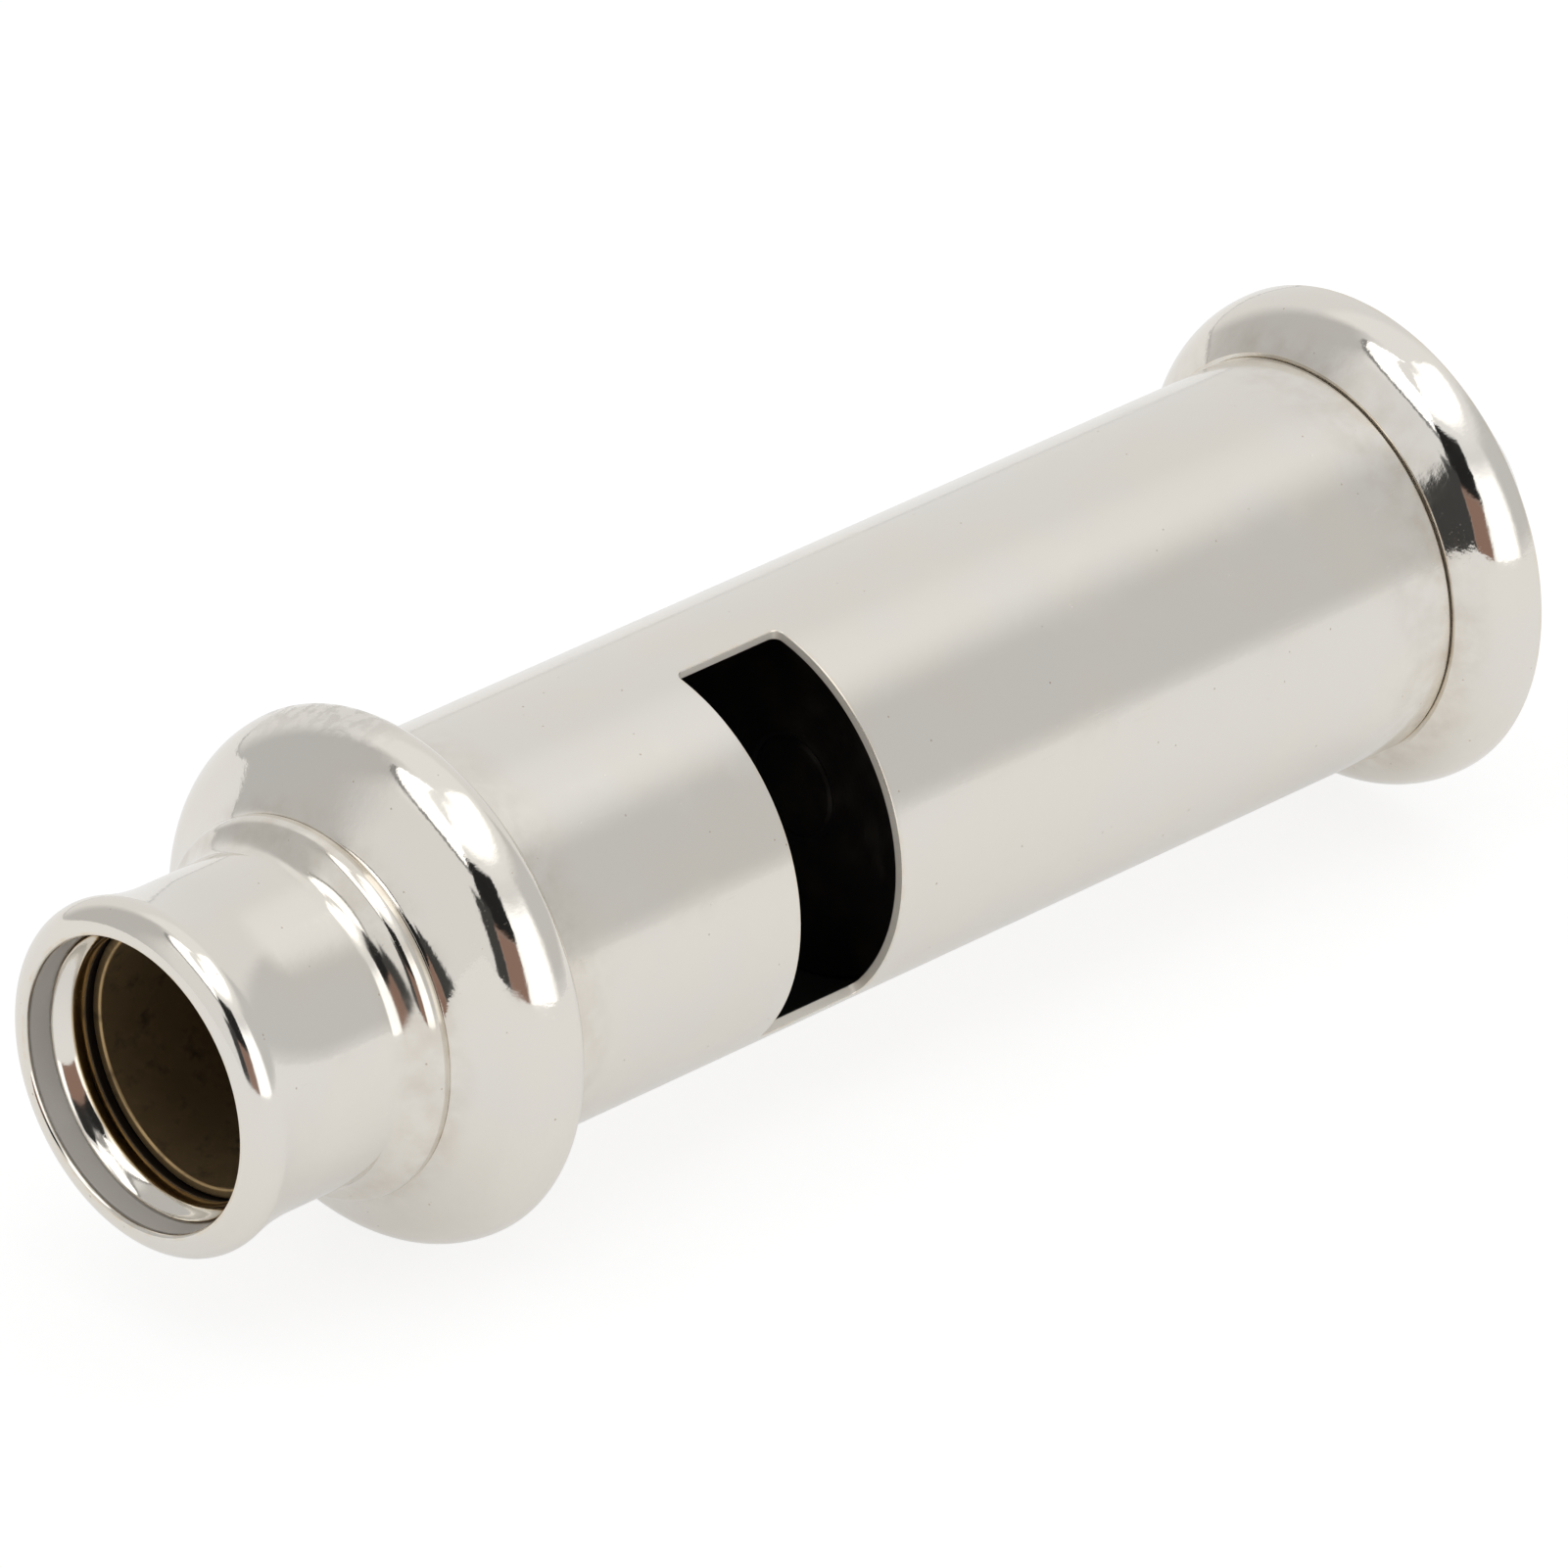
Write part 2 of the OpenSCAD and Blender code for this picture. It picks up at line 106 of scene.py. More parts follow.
def rounded(corners, steps=6):
    """Closed outline with rounded corners. Each corner is (x, r, radius).

    The rounding of radius q at a turn of angle t starts q * tan(t / 2) before the corner. Its
    points stand q away from a centre, which lies on the inner side of the turn.
    """
    table = np.array(corners, float)
    point, radius = table[:, :2], table[:, 2]
    before = point - np.roll(point, 1, axis=0)
    after = np.roll(point, -1, axis=0) - point
    before_len = np.linalg.norm(before, axis=1)
    after_len = np.linalg.norm(after, axis=1)
    before /= before_len[:, None]
    after /= after_len[:, None]
    cross = before[:, 0] * after[:, 1] - before[:, 1] * after[:, 0]
    turn = np.arctan2(cross, (before * after).sum(axis=1))
    side = np.where(turn < 0, -1.0, 1.0)
    reach = np.minimum(radius * np.tan(np.abs(turn) / 2), 0.49 * np.minimum(before_len, after_len))
    q = reach / np.maximum(np.tan(np.abs(turn) / 2), 1e-9)
    inward = np.stack([-before[:, 1], before[:, 0]], axis=1) * side[:, None]
    centre = point - before * reach[:, None] + inward * q[:, None]
    share = np.linspace(0, 1, steps + 1)
    a = np.arctan2(-inward[:, 1], -inward[:, 0])[:, None] + turn[:, None] * share[None, :]
    arc = centre[:, None, :] + q[:, None, None] * np.stack([np.cos(a), np.sin(a)], axis=2)
    hold = np.where(radius > 0, HOLD, 0)[:, None]
    first = arc[:, 0] - before * hold
    last = arc[:, -1] + after * hold
    outline = np.concatenate([first[:, None], arc, last[:, None]], axis=1).reshape(-1, 2)
    step = np.linalg.norm(outline - np.roll(outline, 1, axis=0), axis=1)
    return outline[step > 1e-4]


def arc(centre, radius, start, end, steps=16):
    """Points (x, r, 0) on a circle: angles in degrees, from the outward direction towards +x."""
    a = np.radians(np.linspace(start, end, steps + 1))
    x = centre[0] + radius * np.sin(a)
    r = centre[1] + radius * np.cos(a)
    return np.stack([x, r, np.zeros_like(a)], axis=1).tolist()


def curve(x, r):
    """Points (x, r, 0) from two arrays."""
    return np.stack([x, r, np.zeros_like(x)], axis=1).tolist()


def turns(count):
    """A row of this many angles, once round the axis."""
    return np.linspace(0, 2 * np.pi, count, endpoint=False)[None, :]


# %% [markdown]
# Every piece is one or more grids of four-sided faces, joined into a mesh. Points that meet are
# merged, which closes seams and poles, and then the faces are turned to point outwards.

# %% Grids into meshes
def grid_faces(rows, columns, wrap_rows, wrap_columns, first=0):
    """Four-sided faces of a grid whose points are numbered row by row."""
    i = np.arange(rows if wrap_rows else rows - 1)[:, None]
    j = np.arange(columns if wrap_columns else columns - 1)[None, :]
    i2, j2 = (i + 1) % rows, (j + 1) % columns
    faces = np.stack([i * columns + j, i * columns + j2, i2 * columns + j2, i2 * columns + j], axis=-1)
    return faces.reshape(-1, 4) + first


def mark_edges(mesh):
    """Keep on each point how sharp the ridge is there, from 0 to 1, as the attribute "edge".

    Along a mesh edge the bend is the change of normal, measured along that edge, over the edge's
    length, in 1/mm. A point takes the greatest bend of its edges, and 2 to 9 becomes 0 to 1.
    """
    count = len(mesh.vertices)
    point, normal = np.empty(3 * count), np.empty(3 * count)
    mesh.vertices.foreach_get("co", point)
    mesh.vertex_normals.foreach_get("vector", normal)
    ends = np.empty(2 * len(mesh.edges), int)
    mesh.edges.foreach_get("vertices", ends)
    point, normal, pair = point.reshape(-1, 3) / MM, normal.reshape(-1, 3), ends.reshape(-1, 2)
    step = point[pair[:, 1]] - point[pair[:, 0]]
    turn = normal[pair[:, 1]] - normal[pair[:, 0]]
    bend = (step * turn).sum(axis=1) / np.maximum((step ** 2).sum(axis=1), 1e-5)
    peak = np.zeros(count)
    np.maximum.at(peak, ends, np.repeat(bend, 2))
    sharp = mesh.attributes.new("edge", "FLOAT", "POINT")
    sharp.data.foreach_set("value", np.clip((peak - 2) / 7, 0, 1))


def make_piece(name, grids):
    """One mesh from several grids, each a (points, wrap_rows, wrap_columns)."""
    points, faces, first = [], [], 0
    for grid, wrap_rows, wrap_columns in grids:
        rows, columns = grid.shape[:2]
        points.append(grid.reshape(-1, 3))
        faces.append(grid_faces(rows, columns, wrap_rows, wrap_columns, first))
        first += rows * columns
    mesh = bpy.data.meshes.new(name)
    mesh.from_pydata(np.concatenate(points).tolist(), [], np.concatenate(faces).tolist())
    edit = bmesh.new()
    edit.from_mesh(mesh)
    bmesh.ops.remove_doubles(edit, verts=edit.verts, dist=1.0e-7)
    bmesh.ops.dissolve_degenerate(edit, edges=edit.edges, dist=1.0e-8)
    bmesh.ops.recalc_face_normals(edit, faces=edit.faces)
    open_edges = sum(1 for edge in edit.edges if not edge.is_manifold)
    edit.to_mesh(mesh)
    edit.free()
    mesh.shade_smooth()
    mark_edges(mesh)
    made = bpy.data.objects.new(name, mesh)
    bpy.context.scene.collection.objects.link(made)
    print(f"{name}: {len(mesh.polygons)} faces, {open_edges} open edges")
    return made


def spin(name, outline, around=360, bend=None):
    """A closed outline of (x, r) spun round the axis. bend(x, r, angle) may change r a little."""
    angle = turns(around)
    x = outline[:, 0, None] + 0 * angle
    r = outline[:, 1, None] + 0 * angle
    if bend is not None:
        r = bend(x, r, angle)
    return make_piece(name, [(place(x, r, angle), True, True)])


def stand_for(piece, node, body):
    """The piece rides on a body, in place of a CAD node."""
    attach(piece, body)
    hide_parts(node)


# %% [markdown]
# The mouthpiece is one turned piece. Its lip is part of an ellipse outside and of a smaller one
# inside. Behind the rim a shallow cup narrows to a low ridge. Behind the plain mouth tube a hollow
# curve climbs to the shoulder, and a spigot goes on into the body tube. The flare and the hollow
# curve are parabolas, like the ones that a hand graver leaves, and the shoulder is an arc.

# %% Mouthpiece
mouth_bore_r = 6.45
mouth_r = 7.68
lip_r = 8.21
lip_edge_r = 6.95
lip_face_len = 1.25
lip_run_len = 3.5
rim_r = 6.78
rim_len = 0.30
cup_len = 1.35
funnel_len = 2.45
ridge_len = 0.95
ridge_h = 0.25
hollow_len = 1.2
shoulder_x = 10.14
shoulder_top_r = 8.81
shoulder_round = 0.8
shoulder_foot_angle = 50
shoulder_end_angle = 30
spigot_end_x, spigot_r = span("mouthpiece_shell")[1:]


def mouthpiece_outline():
    """Bore, ridge, cup, rim, lip, flare, mouth tube, shoulder and spigot, back to the bore.

    The ridge is a quarter wave and the cup half a wave. Rim and lip are parts of ellipses, and the
    lip's goes on 15 degrees past its top, so that it meets the hollow flare without a kink.
    """
    share = np.linspace(0, 1, 25)
    p = np.radians(105) * share
    lip = curve(lip_face_len * (1 - np.cos(p)), lip_edge_r + (lip_r - lip_edge_r) * np.sin(p))
    top_x, top_r = lip[-1][:2]
    flare_x = top_x + (lip_face_len + lip_run_len - top_x) * share
    flare_r = mouth_r + (top_r - mouth_r) * (1 - share) ** 2
    foot = np.radians(shoulder_foot_angle)
    foot_x = shoulder_x - shoulder_round * np.sin(foot)
    foot_r = shoulder_top_r - shoulder_round * (1 - np.cos(foot))
    rise_x = foot_x - hollow_len * (1 - share)
    rise_r = mouth_r + (foot_r - mouth_r) * share ** 2
    ridge_r = mouth_bore_r - ridge_h * np.sin(np.pi / 2 * share)
    q = np.pi / 2 * share
    cup_x = funnel_len + (cup_len - funnel_len) * share
    cup_r = rim_r - (rim_r - mouth_bore_r + ridge_h) * (1 + np.cos(np.pi * share)) / 2
    rim = curve(rim_len * (1 - np.cos(q)), lip_edge_r - (lip_edge_r - rim_r) * np.sin(q))[::-1]
    return rounded(
        [(spigot_end_x, mouth_bore_r, 0.05)]
        + curve(funnel_len + ridge_len * (1 - share), ridge_r)
        + curve(cup_x, cup_r)[1:]
        + rim
        + lip[1:]
        + curve(flare_x, flare_r)[1:]
        + curve(rise_x, rise_r)
        + arc((shoulder_x, shoulder_top_r - shoulder_round), shoulder_round,
              -shoulder_foot_angle, shoulder_end_angle)[1:]
        + [(tube_x, shoulder_top_r - 0.11, 0.02), (tube_x, spigot_r, 0.02)]
        + [(spigot_end_x, spigot_r, 0.1)]
    )


mouthpiece = spin("mouthpiece_turned", mouthpiece_outline())
stand_for(mouthpiece, "mouthpiece_shell", "whistle")

# %% [markdown]
# A thin sleeve narrows the mouth. Its front edge was burnished by use, so it is round.

# %% Mouth liner
liner_x, liner_end_x, liner_r = span("mouth_liner")
liner_wall = 0.51
liner = spin("mouth_sleeve", rounded([
    (liner_x, liner_r, 0.12),
    (liner_end_x, liner_r, 0.05),
    (liner_end_x, liner_r - liner_wall, 0.05),
    (liner_x, liner_r - liner_wall, 0.14),
]))
stand_for(liner, "mouth_liner", "whistle")

# %% [markdown]
# The collar hides the joint between mouthpiece and tube. It is a ridge with a big radius towards
# the mouth, a smaller one towards the window, and a hollow foot that runs down to the shoulder.

# %% Collar
collar_x, collar_back_x, collar_r = span("collar")
collar_back_len = 1.35
collar_crest_x = collar_back_x - collar_back_len
collar_front_round = 3.0
collar_back_round = 1.0
collar_foot_angle = 25
bead_angle = 60
gap = 0.03


def bead(foot, foot_slope, crest, radius, leave, steps=14):
    """From a foot up a hollow curve and over a round crest, in (x, r, 0).

    The hollow is a quadratic curve, whose middle point is where the foot's slope and the slope
    at which the round begins, leave degrees, meet. The round is an arc up to the crest.
    """
    start = np.array(arc((crest[0], crest[1] - radius), radius, -leave, 0)[0][:2])
    a = np.array([math.cos(math.radians(foot_slope)), math.sin(math.radians(foot_slope))])
    b = np.array([math.cos(math.radians(leave)), math.sin(math.radians(leave))])
    run = np.linalg.solve(np.column_stack([a, b]), start - np.array(foot))[0]
    middle = np.array(foot) + a * run
    t = np.linspace(0, 1, steps + 1)[:-1, None]
    hollow = (1 - t) ** 2 * np.array(foot) + 2 * t * (1 - t) * middle + t ** 2 * start
    top = arc((crest[0], crest[1] - radius), radius, -leave, 0, 30)
    return curve(hollow[:, 0], hollow[:, 1]) + top


def collar_outline():
    """Bore, hollow foot, round crest and back. The foot's feather edge lies on the shoulder."""
    shoulder_drop = shoulder_round * (1 - math.cos(math.radians(shoulder_end_angle)))
    inner_r = shoulder_top_r - shoulder_drop + 0.004
    return rounded(
        [(tube_x, tube_r + gap, 0), (tube_x, inner_r, 0)]
        + bead((collar_x, inner_r), collar_foot_angle, (collar_crest_x, collar_r),
               collar_front_round, bead_angle)
        + arc((collar_crest_x, collar_r - collar_back_round), collar_back_round, 0, 80, 20)[1:]
        + [(collar_back_x, tube_r + 0.35, 0.08), (collar_back_x, tube_r + gap, 0.02)]
    )


collar = spin("collar_turned", collar_outline())
stand_for(collar, "collar", "whistle")

# %% [markdown]
# Solder ran into the corner behind the collar. It was wiped off by hand, so the little fillet is
# not the same all round: its leg grows and shrinks with three slow waves that share no period.

# %% Solder behind the collar
solder_x, solder_end_x, solder_r = span("collar_solder_ring")


def uneven(x, r, angle):
    """The fillet's height, shrunk by up to a third in slow waves round the whistle."""
    wave = 0.5 + 0.22 * np.sin(3 * angle + 0.4) + 0.16 * np.sin(7 * angle + 2.1)
    return tube_r + (r - tube_r) * (1 - 0.33 * (wave + 0.12 * np.sin(13 * angle)))


solder = spin("solder_fillet", rounded([
    (solder_x, tube_r, 0),
    (solder_x, solder_r, 0.02),
    (solder_x + 0.11, tube_r + 0.13, 0.3),
    (solder_end_x, tube_r + 0.004, 0),
    (solder_end_x, tube_r, 0),
]), bend=uneven)
stand_for(solder, "collar_solder_ring", "whistle")

# %% [markdown]
# The body tube has a window with round corners cut through its wall. A boolean would leave long
# thin faces around the cut, and they would spoil the reflections. So the wall is laid out flat
# and gridded in five parts: one goes round the window like a picture frame, from the outside
# through the cut and back along the inside, two cover the tube's ends, and two the far side of
# the wall beside the window, outside and inside. They share their points where they meet.

# %% Body tube
tube_wall = 0.48
tube_bore_r = tube_r - tube_wall
window_x = tube_x + 17.95
window_end_x = window_x + 6.15
window_middle = math.radians(18)
window_half = math.radians(125 / 2)
window_round = 0.45
window_margin = 1.6
edge_round = 0.05


def flat(x, s):
    """Points of the laid-out wall from two arrays, or from an array and a number."""
    return np.stack(np.broadcast_arrays(x, s), axis=1)


def window_loop(along, across, corner):
    """Points, outward normals and frame points round the window, laid out flat in mm.

    along and across are the numbers of steps on its short and long sides. A side's frame point
    lies straight outside it, and the frame points of a corner go round the frame's corner.
    """
    cx = (window_end_x - window_x) / 2
    cs = window_half * tube_r
    inner_x, inner_s = cx - window_round, cs - window_round
    frame_x, frame_s = cx + window_margin, cs + window_margin
    t = np.linspace(-1, 1, along + 1)
    v = np.linspace(-1, 1, across + 1)
    half = np.linspace(0, 1, corner // 2 + 1)
    q = np.linspace(0, np.pi / 2, corner + 1)[1:-1]
    points, normals, frames = [], [], []
    for k, (sx, ss) in enumerate(((1, 1), (-1, 1), (-1, -1), (1, -1))):
        turn = k * np.pi / 2 + q
        points.append(flat(sx * inner_x + window_round * np.cos(turn),
                           ss * inner_s + window_round * np.sin(turn)))
        normals.append(flat(np.cos(turn), np.sin(turn)))
        if k % 2 == 0:
            leg_a = flat(sx * frame_x, ss * (inner_s + (frame_s - inner_s) * half))
            leg_b = flat(sx * (frame_x - (frame_x - inner_x) * half), ss * frame_s)
            side = flat(-ss * t * inner_x, ss * cs)
            side_frame = flat(side[:, 0], ss * frame_s)
            side_normal = flat(0 * t, ss)
        else:
            leg_a = flat(sx * (inner_x + (frame_x - inner_x) * half), ss * frame_s)
            leg_b = flat(sx * frame_x, ss * (frame_s - (frame_s - inner_s) * half))
            side = flat(sx * cx, sx * v * inner_s)
            side_frame = flat(sx * frame_x, side[:, 1])
            side_normal = flat(sx, 0 * v)
        frames.append(np.concatenate([leg_a, leg_b[1:]])[1:-1])
        points.append(side)
        normals.append(side_normal)
        frames.append(side_frame)
    return np.concatenate(points), np.concatenate(normals), np.concatenate(frames)


def tube_grids(along=16, across=124, corner=10, rest=232):
    """The five grids of the tube's skin, in (x, r, angle)."""
    point, normal, outer = window_loop(along, across, corner)
    e, h = edge_round, HOLD
    quarter = np.radians(np.linspace(0, 90, 5))
    bevel_d = e * (1 - np.sin(quarter))
    bevel_r = e * (1 - np.cos(quarter))
    wall = np.linspace(tube_r - e - h, tube_bore_r + e + h, 5)
    near_d = np.concatenate([[e + h], bevel_d, 0 * wall, bevel_d[::-1], [e + h]])
    near_r = np.concatenate([[tube_r], tube_r - bevel_r, wall,
                             tube_bore_r + bevel_r[::-1], [tube_bore_r]])
    lead = np.linspace(1, 0, 9)[:-1]
    close = point + normal * (e + h)

    def loop(spot, r):
        """One loop round the window, at one radius."""
        return np.column_stack([spot, np.full(len(spot), r)])

    ring = np.array(
        [loop(outer * share + close * (1 - share), tube_r) for share in lead]
        + [loop(point + normal * d, r) for d, r in zip(near_d, near_r)]
        + [loop(outer * share + close * (1 - share), tube_bore_r) for share in lead[::-1]]
    )
    middle_x = (window_x + window_end_x) / 2
    frame_grid = (middle_x + ring[..., 0], ring[..., 2], window_middle + ring[..., 1] / tube_r)

    side_angle = np.unique(np.round(outer[:, 1] / tube_r, 9))
    side_x = np.unique(np.round(outer[:, 0], 9))
    far_angle = np.linspace(side_angle[-1], side_angle[0] + 2 * np.pi, rest + 1)
    all_angle = window_middle + np.concatenate([side_angle, far_angle[1:-1]])
    far_angle = window_middle + far_angle

    def end(x, edge_x, steps):
        """Outside from edge_x to the tube's end, over the end face, and back along the bore."""
        away = np.sign(x - edge_x)
        plain = np.linspace(edge_x, x - away * (e + h), steps)
        face = np.linspace(tube_r - e - h, tube_bore_r + e + h, 3)
        line_x = np.concatenate([plain, x - away * bevel_d, 0 * face + x,
                                 x - away * bevel_d[::-1], plain[::-1]])
        line_r = np.concatenate([0 * plain + tube_r, tube_r - bevel_r, face,
                                 tube_bore_r + bevel_r[::-1], 0 * plain + tube_bore_r])
        return line_x[:, None], line_r[:, None], all_angle[None, :]

    front = end(tube_x, middle_x + side_x[0], 18)
    back = end(tube_end_x, middle_x + side_x[-1], 36)
    strip_out = ((middle_x + side_x)[:, None], tube_r, far_angle[None, :])
    strip_in = ((middle_x + side_x)[:, None], tube_bore_r, far_angle[None, :])
    return [(frame_grid, False, True), (front, False, True), (back, False, True),
            (strip_out, False, False), (strip_in, False, False)]


tube = make_piece("tube_with_window",
                  [(place(*grid), rows, columns) for grid, rows, columns in tube_grids()])
stand_for(tube, "body_tube", "whistle")

# %% [markdown]
# Inside the tube sit the pieces that make the sound. The wind plug is a disc with a thin slit
# under the window. Its outline is round, but drops by the slit's height there, with steep
# smooth steps, and the grid goes from the middle of one face over the edge to the other middle.

# %% Wind plug
plug_x, plug_end_x = span("wind_plug")[:2]
seat_r = tube_bore_r - gap
slit_h = 0.55
slit_half = window_half - math.radians(4)


def plug_grid(around=480):
    """Rings from the front's middle to the back's middle, scaled by the outline's radius."""
    angle = np.linspace(-np.pi, np.pi, around, endpoint=False)
    inside = 1 / (1 + np.exp((np.abs(angle) - slit_half) * 400))
    edge = seat_r - slit_h * inside
    b = 0.06
    ring_x = np.array([0, 0, 0, 0.3 * b, b, b + HOLD])
    ring_cut = np.array([0, 0, b + HOLD, 0.3 * b, 0, 0])
    ring_q = np.array([0, 0.5, 1, 1, 1, 1])
    x = np.concatenate([plug_x + ring_x, plug_end_x - ring_x[::-1]])[:, None]
    r = np.concatenate([ring_q, ring_q[::-1]])[:, None] * edge[None, :]
    r = r - np.concatenate([ring_cut, ring_cut[::-1]])[:, None]
    return place(x, np.maximum(r, 0), window_middle + angle[None, :])


plug = make_piece("wind_plug_slit", [(plug_grid(), False, True)])
stand_for(plug, "wind_plug", "whistle")

# %% [markdown]
# The piston has three pieces: a face of black hard rubber with a boss, a leather ring on that
# boss, and a brass plate that holds the screw's button in its pocket.

# %% Piston
piston_x, piston_end_x, piston_r = span("piston_face")
packing_x, packing_end_x, packing_r = span("piston_packing")
swivel_x, swivel_end_x = span("piston_swivel_plate")[:2]
boss_r = 4.0
button_r = 2.5
button_len = 1.0
neck_r = 1.2
screw_gap = 0.06
pocket_x = swivel_x - button_len - 2 * screw_gap


def from_pole(outline):
    """The outline of a solid piece, clipped at the axis and begun at the pole in front."""
    outline[:, 1] = np.maximum(outline[:, 1], 0)
    start = np.argmin(outline[:, 1] + (outline[:, 0] > outline[:, 0].mean()) * 1.0)
    return np.roll(outline, -start, axis=0)


def disc(name, corners, around=240):
    """A solid turned piece: the outline starts and ends on the axis, where the grid has a pole."""
    outline = from_pole(rounded(corners))
    return make_piece(name, [(place(outline[:, :1], outline[:, 1:], turns(around)), False, True)])


face = disc("piston_hard_rubber", [
    (piston_x, 0, 0),
    (piston_x, 2.2, 0.02),
    (piston_x + 0.1, 2.4, 0.02),
    (piston_x, 2.6, 0.02),
    (piston_x, piston_r, 0.12),
    (packing_x, piston_r, 0.05),
    (packing_x, boss_r, 0.1),
    (swivel_x, boss_r, 0.05),
    (swivel_x, button_r + screw_gap, 0.05),
    (pocket_x, button_r + screw_gap, 0.05),
    (pocket_x, 0, 0),
])
stand_for(face, "piston_face", "piston")


def packed(x, r, angle):
    """Leather that was pressed into the tube: its outside is a little uneven, by up to 0.02 mm."""
    wave = np.sin(11 * angle) + 0.6 * np.sin(23 * angle + 1) + 0.5 * np.sin(4 * x + 5 * angle)
    return r - 0.01 * (1 + wave / 2.1) * (r > packing_r - 0.2)


packing = spin("piston_leather", rounded([
    (packing_x, boss_r, 0.05),
    (packing_x, packing_r - 0.04, 0.15),
    ((packing_x + packing_end_x) / 2, packing_r, 2.0),
    (packing_end_x, packing_r - 0.04, 0.15),
    (packing_end_x, boss_r, 0.05),
]), bend=packed)
stand_for(packing, "piston_packing", "piston")

swivel = spin("piston_plate", rounded([
    (swivel_x, neck_r + screw_gap, 0.03),
    (swivel_x, piston_r, 0.05),
    (swivel_end_x - 0.4, piston_r, 0.05),
    (swivel_end_x, piston_r - 0.4, 0.05),
    (swivel_end_x, 4.6, 0.05),
    (swivel_end_x - 0.12, 4.4, 0.05),
    (swivel_end_x, 4.2, 0.05),
    (swivel_end_x, neck_r + screw_gap, 0.08),
]))
stand_for(swivel, "piston_swivel_plate", "piston")

# %% [markdown]
# The tuning screw has a real helix. On a grid of x and angle, the thread's height is a function
# of how far a point is into the pitch, x minus the pitch times the turns. Flat crests, flat
# roots and sloping flanks come from clipping a triangle wave, and the thread fades in and out.

# %% Tuning screw
screw_x, screw_end_x = span("tuning_screw")[:2]
stop_x, stop_end_x, stop_r = span("screw_stop_collar")
web_x, web_end_x, web_r = span("cap_web")
pitch = 0.75
thread_h = 0.3
screw_root_r = 1.5
screw_r = screw_root_r + thread_h


def thread(x, angle, start, end):
    """Thread height from 0 to 1: a clipped triangle wave along the helix, zero outside start to end."""
    phase = (x / pitch - angle / (2 * np.pi)) % 1
    wave = np.clip(1.75 - 4 * np.abs(phase - 0.5) * 1.25, 0, 1)
    fade = np.clip((x - start) / pitch, 0, 1) * np.clip((end - x) / pitch, 0, 1)
    return wave * fade


def screw_grid(around=72):
    """Button, neck, stem, thread and stub, from pole to pole."""
    head = from_pole(rounded([
        (screw_x, 0, 0),
        (screw_x, button_r, 0.1),
        (screw_x + button_len, button_r, 0.1),
        (screw_x + button_len, neck_r, 0.1),
        (swivel_end_x + pitch, neck_r, 0.1),
        (swivel_end_x + pitch, screw_root_r, 0.1),
        (screw_end_x, screw_root_r, 0.25),
        (screw_end_x, 0, 0),
    ]))
    body = np.searchsorted(head[:, 0], stop_end_x)
    fine = np.arange(stop_end_x, web_x, pitch / 16)
    x = np.concatenate([head[:body, 0], fine, head[body:, 0]])[:, None]
    r = np.concatenate([head[:body, 1], 0 * fine + screw_root_r, head[body:, 1]])[:, None]
    angle = turns(around)
    r = r + thread_h * thread(x, angle, stop_end_x, web_x)
    return place(x, r, angle)


screw = make_piece("tuning_screw_cut", [(screw_grid(), False, True)])
stand_for(screw, "tuning_screw", "tuning_cap")

# %% [markdown]
# The stop collar is pinned to the screw and carries a knurl of shallow grooves. The bush that the
# screw turns in has the matching thread inside.

# %% Stop collar and bush
def knurled(x, r, angle):
    """Shallow lengthways grooves on the outside."""
    return r - 0.06 * (r > stop_r - 0.02) * (0.5 + 0.5 * np.cos(36 * angle))


stop = spin("stop_knurled", rounded([
    (stop_x, screw_root_r + gap, 0.05),
    (stop_x, stop_r, 0.2),
    (stop_end_x, stop_r, 0.2),
    (stop_end_x, screw_root_r + gap, 0.05),
]), around=432, bend=knurled)
stand_for(stop, "screw_stop_collar", "tuning_cap")

bush_x, bush_end_x, bush_r = span("guide_bush")
bush_bore_r = screw_r + screw_gap


def bush_grid(around=180):
    """A disc with a threaded bore: the inside grid has the screw's helix, one clearance larger."""
    bevel = pitch / 2
    line = rounded([
        (bush_x + bevel, bush_bore_r, 0),
        (bush_x, bush_bore_r + bevel, 0.05),
        (bush_x, bush_r, 0.1),
        (bush_end_x, bush_r, 0.1),
        (bush_end_x, bush_bore_r + bevel, 0.05),
        (bush_end_x - bevel, bush_bore_r, 0),
    ])
    fine = np.arange(bush_end_x - bevel, bush_x + bevel, -pitch / 16)[1:]
    x = np.concatenate([line[:, 0], fine])[:, None]
    r = np.concatenate([line[:, 1], 0 * fine + bush_bore_r])[:, None]
    angle = turns(around)
    bore = (x > bush_x + bevel) & (x < bush_end_x - bevel) & (r < bush_bore_r + 0.01)
    cut = thread(x, angle, bush_x + bevel, bush_end_x - bevel) * 0.5 * thread_h
    return place(x, r + np.where(bore, cut, 0), angle)


bush = make_piece("guide_bush_threaded", [(bush_grid(), True, True)])
stand_for(bush, "guide_bush", "whistle")

# %% [markdown]
# The cap is what the fingers turn. Its sleeve slides in the tube, a disc joins it to the screw, and a
# hexagon nut locks them under the dome. The nut's outline is that of a hexagon, and where the two
# faces are bevelled, a cone cuts its corners: each point takes the smaller of the two radii.

# %% Sleeve, disc and nut of the cap
sleeve_x, sleeve_end_x, sleeve_r = span("cap_sleeve")
sleeve_wall = 0.6
sleeve = spin("cap_sleeve_turned", rounded([
    (sleeve_x, sleeve_r - sleeve_wall, 0.1),
    (sleeve_x, sleeve_r, 0.15),
    (sleeve_end_x, sleeve_r, 0.02),
    (sleeve_end_x, sleeve_r - sleeve_wall, 0.02),
]))
stand_for(sleeve, "cap_sleeve", "tuning_cap")

